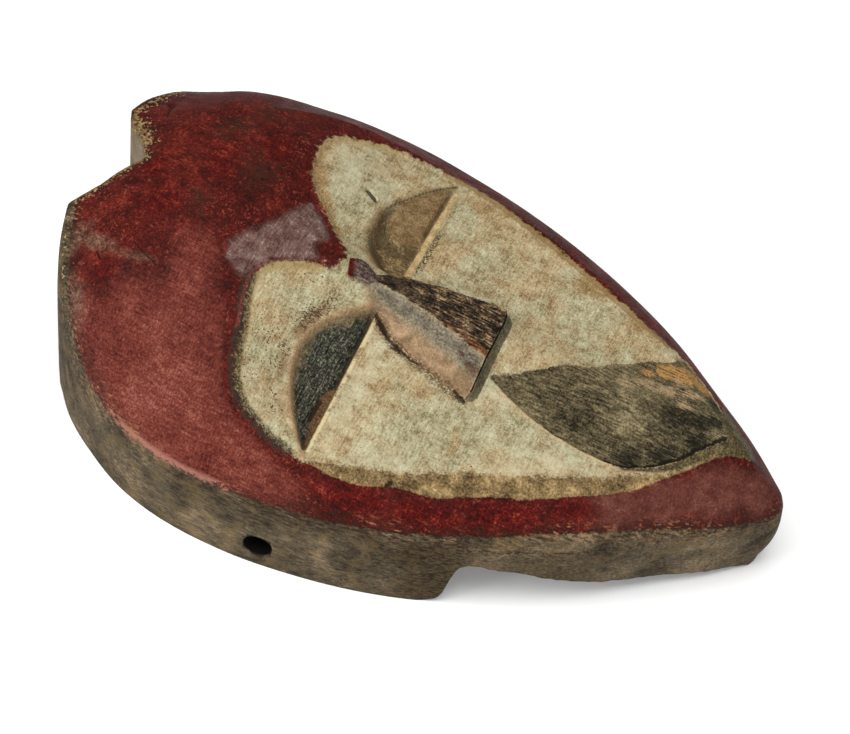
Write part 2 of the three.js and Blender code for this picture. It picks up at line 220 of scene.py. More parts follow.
# Small marks, each a short line with its half width and depth
DEEP_MARKS = (
    (((23.3, 28.8), (22.2, 26.4)), 0.55, 0.9),
    (((-38.5, -3.7), (-37.8, -4.2)), 0.6, 0.9),
    (((-5.6, 14.2), (-7.6, 11.6), (-9.3, 9.2), (-10, 6.6)), 0.45, 0.55),
    (((-10, 6.6), (-11.1, 4), (-11.5, 1.4)), 0.35, 0.35),
    (((-13.4, -7.4), (-14.6, -10.4)), 0.35, 0.45),
    (((22.4, 76.2), (22, 75.6)), 0.45, 1.6),
    (((21.4, 75.6), (19.4, 75.2), (17.6, 75)), 0.35, 0.45),
    (((-26.8, 16.4), (-31.5, 16.6)), 0.5, 0.35),
)
STUB = (
    (-1.4, 22.4), (2.1, 23.5), (3.2, 22.2), (3.3, 20.4), (1.9, 18.3), (0.9, 17), (-0.6, 18), (-0.7, 20.4),
)
STUB_RISE = 1.5
STUB_STARTS_Y = (15.5, 20)

# Soft swells of the surface: rise, size, how drawn out along the grain, and seed
SWELLS = ((0.22, 11, 1, 1), (0.09, 3.2, 0.45, 2), (0.05, 1.3, 0.35, 3))
SWELL_STARTS = (0.5, 4)
# Ragged lumps of the broken rim: rise, size and seed
BREAK_LUMPS = ((0.35, 1.6, 8), (0.3, 4, 9))

# How finely the piece is meshed
FACE_ACROSS = 210
FACE_ALONG = 280
WALL_RINGS = 14
UNDERSIDE_RINGS = 4
HOLLOW_RINGS = 8
LAST_RING = WALL_RINGS + UNDERSIDE_RINGS + HOLLOW_RINGS
CEILING_SHARE = 0.985
ANY_HEIGHT = 20.0
CEILING_ACROSS = 57
CEILING_ALONG = 75
SNAP_REACH = 0.27
STEP_RUN = 0.45
NOTCH_STRAIGHTENS = (0.2, 1.5)
NOTCH_ROWS = (0.72, 1)
BREAK_FROM_X = -2

# The parts of the surface
FRONT, WALL, UNDERSIDE, HOLLOW = 0.0, 1.0, 2.0, 3.0


# Measuring tools
def curve(stations, position):
    """Smooth curve through stations of (position, value), the same one as in the part's source."""
    at = np.array([s[0] for s in stations], float)
    value = np.array([s[1] for s in stations], float)
    slope = np.gradient(value)
    slope[1:-1] = (value[2:] - value[:-2]) / (at[2:] - at[:-2])
    slope[0] = (value[1] - value[0]) / (at[1] - at[0])
    slope[-1] = (value[-1] - value[-2]) / (at[-1] - at[-2])
    p = np.clip(position, at[0], at[-1])
    i = np.clip(np.searchsorted(at, p, side="right") - 1, 0, len(at) - 2)
    span = at[i + 1] - at[i]
    t = (p - at[i]) / span
    return ((2 * t**3 - 3 * t**2 + 1) * value[i] + (t**3 - 2 * t**2 + t) * span * slope[i]
            + (3 * t**2 - 2 * t**3) * value[i + 1] + (t**3 - t**2) * span * slope[i + 1])


def straight(stations, position):
    return np.interp(position, [s[0] for s in stations], [s[1] for s in stations])


def ease(low, high, value):
    t = np.clip((value - low) / (high - low), 0, 1)
    return t * t * (3 - 2 * t)


def share_along(x, y, dx, dy):
    """How far along a straight line (dx, dy), from 0 to 1, lies its nearest point to a place."""
    return np.clip((x * dx + y * dy) / max(dx * dx + dy * dy, 1e-9), 0, 1)


def distance_to(x, y, points, closed=False):
    """Distance from each place to a line of points."""
    points = np.asarray(points, float)
    starts = points if closed else points[:-1]
    ends = np.roll(points, -1, 0) if closed else points[1:]
    best = np.full(x.shape, np.inf)
    for (ax, ay), (bx, by) in zip(starts, ends):
        dx, dy = bx - ax, by - ay
        t = share_along(x - ax, y - ay, dx, dy)
        best = np.minimum(best, np.hypot(x - ax - t * dx, y - ay - t * dy))
    return best


def inside(x, y, points):
    points = np.asarray(points, float)
    odd = np.zeros(x.shape, bool)
    for (ax, ay), (bx, by) in zip(points, np.roll(points, -1, 0)):
        if ay != by:
            crosses = (ay > y) != (by > y)
            odd ^= crosses & (x < ax + (y - ay) / (by - ay) * (bx - ax))
    return odd


def depth_in(x, y, points):
    """How far inside a closed line of points a place lies, negative outside."""
    far = distance_to(x, y, points, True)
    return np.where(inside(x, y, points), far, -far)


def rounded(points, steps=4):
    """The same closed line with its corners eased."""
    points = np.asarray(points, float)
    before, after, next_after = np.roll(points, 1, 0), np.roll(points, -1, 0), np.roll(points, -2, 0)
    made = []
    for k in range(steps):
        t = k / steps
        made.append(0.5 * (2 * points + (after - before) * t
                           + (2 * before - 5 * points + 4 * after - next_after) * t * t
                           + (3 * points - before - 3 * after + next_after) * t**3))
    return np.stack(made, 1).reshape(-1, 2)


def lumps(x, y, size, seed):
    """Soft random swell from -1 to 1, about size across."""
    shift = Vector((seed * 17.3, seed * 5.1, seed * 9.7))
    return np.array([noise.noise(Vector((a, b, 0)) / size + shift) for a, b in zip(x, y)])


def groove(x, y, line, half_width):
    """1 along a line, falling off smoothly on both sides of it."""
    return np.exp(-(distance_to(x, y, line) / half_width) ** 2)


# The front
def face_place(u, v, notched):
    """Place on the front for u (across) and v (along), and how deep the crown notch bites there."""
    side_y = CHIN_SIDE_Y + (v + 1) / 2 * (CROWN_SIDE_Y - CHIN_SIDE_Y)
    chin_bend = np.maximum(0, 1 - (side_y - CHIN_SIDE_Y) / CHIN_BEND_LENGTH) ** 2
    crown_bend = np.maximum(0, (side_y - CROWN_BEND_START_Y) / (CROWN_SIDE_Y - CROWN_BEND_START_Y)) ** 2
    along_crown = np.abs(u) * CROWN_HALF_WIDTH
    crown = np.where(u < 0, curve(NEAR_CROWN_HEIGHTS, along_crown), curve(FAR_CROWN_HEIGHTS, along_crown))
    x = u * curve(SIDE_HALF_WIDTHS, side_y)
    x = x + np.maximum(u, 0) * curve(FAR_FULLNESS, side_y) + curve(LEANS, side_y)
    chin_rise = (CHIN_TIP_Y - CHIN_SIDE_Y) * (1 - u * u)
    y = side_y + chin_bend * chin_rise + crown_bend * (crown - CROWN_SIDE_Y)
    if not notched:
        return x, y, np.zeros_like(x)
    crown_x = u * CROWN_HALF_WIDTH + np.maximum(u, 0) * FAR_FULLNESS[-1][1] + curve(LEANS, crown)
    bite = np.maximum(0, crown - straight(NOTCH_DEPTHS, crown_x)) * ease(*NOTCH_ROWS, v)
    return x, y - bite, bite


def outline(notched=False, steps=120):
    one = np.linspace(-1, 1, steps, endpoint=False)
    two = np.linspace(-1, 1, 2 * steps, endpoint=False)
    u = np.concatenate([one, np.ones(2 * steps), -one, -np.ones(2 * steps)])
    v = np.concatenate([-np.ones(steps), two, np.ones(steps), -two])
    x, y, _ = face_place(u, v, notched)
    return np.stack([x, y], -1)


def field_height(x, y):
    drop = curve(SIDE_DROPS, y) * (x / SIDE_DROP_REACH) ** 2
    keel = curve(KEEL_HEIGHTS, y) * np.exp(-((x / KEEL_HALF_WIDTH) ** 2))
    return curve(MIDDLE_HEIGHTS, y) - drop + keel


def plain_height(x, y, edge):
    """Height of the front with its bevelled edge, before eyes, nose and chin facet."""
    wall_top = curve(WALL_TOPS, y)
    share = np.minimum(edge / curve(BEVEL_WIDTHS, y), 1)
    turned = np.sqrt(1 - (1 - share) ** 2)
    rise = share + (turned - share) * curve(BEVEL_ROUNDNESS, y)
    return wall_top + (field_height(x, y) - wall_top) * rise


def eye_arc(eye, steps=40):
    """The arc above an eye, from its outer to its inner corner."""
    t = np.linspace(0, 1, steps + 1)
    hold_x = 2 * eye["apex_x"] - (eye["outer"] + eye["inner"]) / 2
    hold_y = 2 * eye["apex_y"] - eye["edge_y"]
    x = (1 - t) ** 2 * eye["outer"] + 2 * t * (1 - t) * hold_x + t * t * eye["inner"]
    y = (1 - t) ** 2 * eye["edge_y"] + 2 * t * (1 - t) * hold_y + t * t * eye["edge_y"]
    return np.stack([x, y], -1)


def nose_lines():
    rows = np.array(NOSE_ROWS, float)
    along = [np.stack([rows[:, k], rows[:, 0]], -1) for k in range(1, 6)]
    end_top = np.array(NOSE_END)
    return along, end_top, end_top - (0, NOSE_END_SLOPE)


def nose_height(x, y):
    """Height of the nose, or well below the face where there is none."""
    rows = np.array(NOSE_ROWS, float)[::-1]
    row_y = np.clip(y, rows[0, 0], rows[-1, 0])
    near, near_edge, ridge, far_edge, far, edge_z, ridge_z = (
        np.interp(row_y, rows[:, 0], rows[:, k]) for k in range(1, 8))
    far_edge_z = edge_z + NOSE_FAR_EDGE_LIFT
    z = np.select(
        [x < near, x < near_edge, x < ridge, x < far_edge, x < far],
        [np.full(x.shape, NO_NOSE),
         NOSE_FOOT_Z + (edge_z - NOSE_FOOT_Z) * ((x - near) / (near_edge - near)) ** NOSE_FLANK_FULLNESS,
         edge_z + (ridge_z - edge_z) * (x - near_edge) / (ridge - near_edge),
         ridge_z + (far_edge_z - ridge_z) * (x - ridge) / (far_edge - ridge),
         far_edge_z + (NOSE_FOOT_Z - far_edge_z) * (x - far_edge) / (far - far_edge)],
        NO_NOSE)
    past_end = straight(NOSE_END, x) - y
    fallen = np.clip(past_end / NOSE_END_SLOPE, 0, 1) * (z > NOSE_FOOT_Z)
    z = z - (z - NOSE_FOOT_Z + 1) * fallen
    return np.where((y > rows[-1, 0]) | (past_end > NOSE_END_SLOPE), NO_NOSE, z)


def join_nose(x, y, z):
    """The face with the nose on it, and the bridge blended in."""
    nose = nose_height(x, y)
    blend = straight(BRIDGE_BLEND, y)
    lead = np.clip((nose - z) / blend, -1, 1)
    fillet = blend * (1 - np.abs(lead)) ** 2 / 4
    return np.maximum(z, nose) + np.where(nose > NO_NOSE, fillet, 0)


def near_eye_cut(x, y):
    rim = eye_arc(NEAR_EYE)
    within = depth_in(x, y, rim)
    to_arc = distance_to(x, y, rim)
    to_edge = np.abs(y - NEAR_EYE["edge_y"])
    across = to_edge / np.maximum(to_edge + to_arc, 1e-6)
    floor = EYE_ARC_DEPTH + (EYE_EDGE_DEPTH - EYE_ARC_DEPTH) * (1 - across) ** EYE_FLOOR_FULLNESS
    step = np.minimum(ease(0, STEP_RUN, to_edge), ease(-0.1, 1.1, to_arc))
    dip = BROW_DIP_DEPTH * np.exp(-((to_arc - BROW_DIP_FROM_ARC) / BROW_DIP_HALF_WIDTH) ** 2)
    return np.where(within > 0, floor * step, np.where(y > NEAR_EYE["edge_y"], dip, 0))


def far_eye_cut(x, y):
    within = depth_in(x, y, FAR_EYE_RIM)
    to_edge = np.abs(y - FAR_EYE["edge_y"])
    lid = FAR_LID_RISE * ease(0, FAR_LID_RUN, depth_in(x, y, FAR_LID))
    bowl = FAR_BOWL_DEPTH * ease(-0.4, FAR_BOWL_RUN, distance_to(x, y, FAR_EYE_RIM)) - lid
    hollow = np.where(within > 0, np.maximum(bowl, 0) * ease(0, STEP_RUN, to_edge), 0)
    rim_groove = FAR_GROOVE_DEPTH * groove(x, y, FAR_GROOVE, FAR_GROOVE_HALF_WIDTH)
    lip = FAR_LIP_RISE * (1 - ease(0.6, 1.1, distance_to(x, y, FAR_LIP) / FAR_LIP_HALF_WIDTH))
    lip_groove = LIP_GROOVE_DEPTH * groove(x, y, LIP_GROOVE, LIP_GROOVE_HALF_WIDTH)
    return hollow + rim_groove - np.where(within > 0, 0, lip) + lip_groove


def chin_facet_cut(x, y):
    within = depth_in(x, y, CHIN_FACET)
    fade = 1 - ease(CHIN_STEP_HOLDS, CHIN_STEP_REACH, distance_to(x, y, CHIN_STEP))
    return np.where(within > 0, CHIN_STEP_DEPTH * fade * ease(0, STEP_RUN, within), 0)


def carved_height(x, y, edge):
    """Height of the finished front, with the marks of its making and its wear."""
    z = plain_height(x, y, edge)
    heart = depth_in(x, y, rounded(HEART))
    z = z - RECESS_DEPTH * ease(0, RECESS_RUN, heart) * ease(*RECESS_STARTS_Y, y)
    z = z - near_eye_cut(x, y) - far_eye_cut(x, y) - chin_facet_cut(x, y)
    z = z + STUB_RISE * ease(-0.3, 0.7, depth_in(x, y, STUB)) * ease(*STUB_STARTS_Y, y)
    z = join_nose(x, y, z)
    for line, half_width, depth in DEEP_MARKS:
        z = z - depth * groove(x, y, line, half_width)
    inner = ease(*SWELL_STARTS, edge)
    for rise, size, squeeze, seed in SWELLS:
        z = z + rise * lumps(x, y * squeeze, size, seed) * inner
    return z


# The whole piece
def mesh_rings():
    """A grid for the front, rings for wall, underside and hollow, and a grid for the hollow's ceiling."""
    bm = bmesh.new()
    bmesh.ops.create_grid(bm, x_segments=FACE_ACROSS, y_segments=FACE_ALONG, size=1.0)
    rim = [e for e in bm.edges if e.is_boundary]
    for level in range(1, LAST_RING + 1):
        made = bmesh.ops.extrude_edge_only(bm, edges=rim)["geom"]
        for vert in made:
            if isinstance(vert, bmesh.types.BMVert):
                vert.co.z = -level
        rim = [e for e in made if isinstance(e, bmesh.types.BMEdge) and e.is_boundary]
    ceiling = bmesh.ops.create_grid(
        bm, x_segments=CEILING_ACROSS, y_segments=CEILING_ALONG, size=CEILING_SHARE)["verts"]
    for vert in ceiling:
        vert.co.z = -LAST_RING - 1
    inner_rim = [e for e in bm.edges if e.is_boundary and e.verts[0].co.z < -LAST_RING - 0.5]
    bmesh.ops.bridge_loops(bm, edges=rim + inner_rim)
    return bm


def broken_edge(x, y):
    """Height of the underside, which is above the ground where the near rim is broken away."""
    ragged = sum(rise * lumps(x, y, size, seed) for rise, size, seed in BREAK_LUMPS)
    profile = straight(RIM_BREAK, y)
    broken = np.maximum(profile + ragged * ease(0, 3, profile), 0)
    return np.where((x < BREAK_FROM_X) & (profile > 0), broken, 0)


def snap_to(x, y, lines, reach):
    """Slides the grid points that lie close to a carved edge onto it, so that the edge is crisp."""
    best = np.full(x.shape, reach)
    new_x, new_y = x.copy(), y.copy()
    for points in lines:
        for (ax, ay), (bx, by) in zip(points[:-1], points[1:]):
            dx, dy = bx - ax, by - ay
            t = share_along(x - ax, y - ay, dx, dy)
            px, py = ax + t * dx, ay + t * dy
            far = np.hypot(x - px, y - py)
            nearer = far < best
            best = np.where(nearer, far, best)
            new_x, new_y = np.where(nearer, px, new_x), np.where(nearer, py, new_y)
    return new_x, new_y


def carve_front(x, y, on_rim):
    along, end_top, end_foot = nose_lines()
    lines = [eye_arc(NEAR_EYE), end_top, end_foot, CHIN_STEP] + along
    for eye in (NEAR_EYE, FAR_EYE):
        for y_line in (eye["edge_y"], eye["edge_y"] + STEP_RUN):
            lines.append([[eye["outer"], y_line], [eye["inner"], y_line]])
    snapped_x, snapped_y = snap_to(x, y, lines, SNAP_REACH)
    x, y = np.where(on_rim, x, snapped_x), np.where(on_rim, y, snapped_y)
    return x, y, carved_height(x, y, distance_to(x, y, outline(), True))


def rim_heights(u, v, z, rim_points, ringed):
    """Height of the rim of the front above each ring point, which was drawn down from it."""
    key = np.round(u * 1e4).astype(int) * 100003 + np.round(v * 1e4).astype(int)
    order = rim_points[np.argsort(key[rim_points])]
    heights = np.full_like(z, ANY_HEIGHT)
    heights[ringed] = z[order[np.searchsorted(key[order], key[ringed])]]
    return heights


def wall_place(x, y, plain_y, bite, down):
    """Place on the side wall, with down from 0 at the rim of the front to 1 at the ground."""
    upright = ease(*NOTCH_STRAIGHTENS, bite)
    flare = 1 + curve(WALL_FLARES, plain_y) * np.sqrt(down) * (1 - upright)
    near_chin = np.clip((CHIN_BULGE_START_Y - y) / (CHIN_BULGE_START_Y - CHIN_TIP_Y), 0, 1)
    bulge = CHIN_BULGE * near_chin * np.sin(np.pi * np.minimum(down, CHIN_BULGE_ENDS))
    return x * flare, y - bulge


def hollow_place(plain_x, plain_y, corner, rise):
    """Place on the wall of the hollow, with rise from 0 at the ground to 1, and the ceiling's height."""
    narrow = 1 - HOLLOW_TAPER * rise * rise
    x = plain_x * HOLLOW_SCALE_X * narrow
    y = plain_y * HOLLOW_SCALE_Y * narrow + HOLLOW_SHIFT_Y
    ceiling_z = curve(MIDDLE_HEIGHTS, y) - FRONT_THICKNESS
    return x, y, ceiling_z * (1 - HOLLOW_CORNER * corner**4)


def place_grid(u, v, level):
    """Place of every grid point, and the part it lies on."""
    x, y, bite = face_place(u, v, True)
    plain_x, plain_y, _ = face_place(u, v, False)
    z = np.zeros_like(x)
    front = level < 0.5
    corner = np.maximum(np.abs(u), np.abs(v))
    on_rim = corner > 0.999
    x[front], y[front], z[front] = carve_front(x[front], y[front], on_rim[front])
    edge_z = rim_heights(u, v, z, np.nonzero(front & on_rim)[0], ~front & (level < LAST_RING + 0.5))
    whole = np.ones_like(x)

    foot_z = broken_edge(*wall_place(x, y, plain_y, bite, whole))
    wall_z = edge_z + (foot_z - edge_z) * np.clip(level / WALL_RINGS, 0, 1)
    wall_x, wall_y = wall_place(x, y, plain_y, bite, np.clip(1 - wall_z / edge_z, 0, 1))

    foot_x, foot_y = wall_place(x, y, plain_y, bite, np.clip(1 - foot_z / edge_z, 0, 1))
    inner_x, inner_y = plain_x * HOLLOW_SCALE_X, plain_y * HOLLOW_SCALE_Y + HOLLOW_SHIFT_Y
    across = np.clip((level - WALL_RINGS) / UNDERSIDE_RINGS, 0, 1)
    under_x, under_y = foot_x + (inner_x - foot_x) * across, foot_y + (inner_y - foot_y) * across
    under_z = broken_edge(under_x, under_y)

    up = np.clip((level - WALL_RINGS - UNDERSIDE_RINGS) / HOLLOW_RINGS, 0, 1)
    ceiling_z = hollow_place(plain_x, plain_y, corner, whole)[2]
    start_z = broken_edge(inner_x, inner_y)
    hollow_z = start_z + (ceiling_z - start_z) * up
    hollow_x, hollow_y, _ = hollow_place(plain_x, plain_y, corner, np.clip(hollow_z / ceiling_z, 0, 1))

    parts = [front, level < WALL_RINGS + 0.5, level < WALL_RINGS + UNDERSIDE_RINGS + 0.5]
    places = np.stack([
        np.select(parts, [x, wall_x, under_x], hollow_x),
        np.select(parts, [y, wall_y, under_y], hollow_y),
        np.select(parts, [z, wall_z, under_z], hollow_z)], -1)
    return places, np.select(parts, [FRONT, WALL, UNDERSIDE], HOLLOW)


def show_mesh(bm, name):
    """Makes an object of a bmesh and puts it in the scene."""
    mesh = bpy.data.meshes.new(name)
    bm.to_mesh(mesh)
    bm.free()
    piece = bpy.data.objects.new(name, mesh)
    bpy.context.scene.collection.objects.link(piece)
    return piece


def carve_mask():
    bm = mesh_rings()
    grid = np.array([vert.co for vert in bm.verts])
    places, parts = place_grid(grid[:, 0], grid[:, 1], -grid[:, 2])
    part_layer = bm.verts.layers.float.new("part")
    for vert, place, part in zip(bm.verts, places, parts):
        vert.co = place
        vert[part_layer] = part
    bmesh.ops.recalc_face_normals(bm, faces=bm.faces)
    for face in bm.faces:
        face.smooth = True
    piece = show_mesh(bm, "carved_mask")
    drill_tie_holes(piece)
    return piece


def drill_tie_holes(piece):
    bm = bmesh.new()
    across = Matrix.Rotation(math.pi / 2, 4, "Y")
    radius = TIE_HOLE_DIAMETER / 2
    for side in (-1, 1):
        place = Matrix.Translation((side * TIE_HOLE_X, TIE_HOLE_Y, TIE_HOLE_Z)) @ across
        bmesh.ops.create_cone(
            bm, cap_ends=True, segments=TIE_HOLE_SIDES, radius1=radius, radius2=radius,
            depth=TIE_HOLE_REACH, matrix=place)
    drill = show_mesh(bm, "drill")
    cut = piece.modifiers.new("tie_holes", "BOOLEAN")
    cut.operation = "DIFFERENCE"
    cut.solver = "EXACT"
    cut.object = drill
    with bpy.context.temp_override(object=piece, active_object=piece, selected_objects=[piece]):
        bpy.ops.object.modifier_apply(modifier=cut.name)
    drill_mesh = drill.data
    bpy.data.objects.remove(drill)
    bpy.data.meshes.remove(drill_mesh)


# Where the finishes lie
WELL_OUTSIDE = 6.0
PAINT_EDGE_LIFTS = (
    (-80, 0.3), (-66, 0.6), (-52, 1.6), (-40, 2), (-28, 1.4), (-10, 0.5), (20, 0), (56, 0), (64, 0.8),
    (70, 1.6), (76, 2.4), (80, 2), (84, 0.4),
)
NOTCH_FAR_SHOULDER_X = 8
CRUMBLE_RUNS = (2.6, 0.9)
CRUMBLE_STARTS_Y = (64, 76)
WORN_SIDE_X = (-34, -10)
WORN_SIDE_STARTS_Y = (-2, 22)
WORN_SIDE_ENDS_Y = (56, 74)
LOBES_START_Y = (24, 30)
# The painted highlight along the near cheek's edge runs between these
CHEEK_HIGHLIGHT_X = (-40, -5)
# Painted shade in the groove under the far eye's lip: its strength along the eye, and its half width
LIP_GROOVE_SHADE = ((6, 0), (8, 1), (20, 1), (24, 0.5), (30, 0.6), (36, 0))
LIP_GROOVE_SHADE_HALF_WIDTH = 1.4
NOSE_END_X = (-14.6, 10.8)
END_LINE_X = (-13, 8.4)
STUB_END_Y = (21.4, 22.6)

# Zones that fill a closed line
FIELDS = {
    "near_eye": eye_arc(NEAR_EYE),
    "far_eye": FAR_EYE_RIM,
    "lid": FAR_LID,
    "stub": STUB,
    "chin_soot": CHIN_FACET,
    "chin_end": (
        (-14.6, -44), (-11.2, -52), (-7.2, -57.4), (-2, -61.6), (0, -66), (2, -70.4), (7, -69),
        (14.4, -60), (9, -60.8), (2.9, -63), (-1.2, -59.8), (-6.3, -55.8), (-10.4, -51), (-13.6, -45.2),
    ),
    # The polished patch on the forehead, whose colour also carries a painted reflection
    "burnish": (
        (-14, 41.4), (-12, 46), (-8, 47), (-4.7, 45.4), (0.5, 42), (5, 39.7), (10, 37), (8.7, 34),
        (5.6, 31), (3.6, 29.6), (0.4, 31.6), (-2.6, 29.4), (-4.6, 33), (-7.4, 37.6),
    ),
    "red_strip": ((-40.2, 14), (-22.6, 14), (-23.6, 16.2), (-26.4, 16.8), (-31, 16.7), (-36.5, 15.4)),
}

# Zones along lines, each with the half width of its stripe before its lines
STRIPES = {
    # A dark band along the near lobe's border
    "lobe_border_band": (2.6, (
        (-12.5, 40), (-17.6, 39), (-22.5, 37), (-27.1, 35.6), (-31.7, 34.1), (-35.4, 31.5), (-37.6, 28.4),
        (-39, 25), (-40.1, 21.3), (-40.6, 17.7),
    )),
    "red_edge": (1.1, ((-3.4, 29), (-6.4, 35.8), (-9.7, 39), (-12.9, 40), (-17.6, 39.2), (-24, 37.2))),
    "far_border": (2.2, HEART[40:48]),
    # Painted shade in the deepest crease of the near eye, under its straight edge
    "eye_edge_shade": (1.5, ((-6.5, 14.6), (-14, 14.9), (-23, 14.9), (-30, 15.4))),
    "base_crack": (2.4, (
        (-5.6, 14.2), (-7.6, 11.6), (-9.3, 9.2), (-10, 6.6), (-11.1, 4), (-12, 0), (-13, -4), (-14.4, -8),
    )),
    "stub_shade": (1.3, ((-1.9, 22), (-1.3, 20.2), (-1.2, 18))),
    "step_edge": (0.9, (
        (-9.4, -16.6), (-11.9, -23.9), (-13.4, -30), (-14, -36), (-14.1, -41.5), (-13.8, -44),
    )),
    "soot_line": (1.9, (
        (-13.8, -42), (-13.4, -45.4), (-10.2, -51), (-6.3, -55.6), (-1.2, -59.6), (2.9, -62.8),
    )),
    "cracks": (0.5, ((-21, 70.6), (-22.6, 69.2), (-24.6, 69.6)), ((-17.4, 64), (-18.8, 61), (-20.2, 57.4))),
}

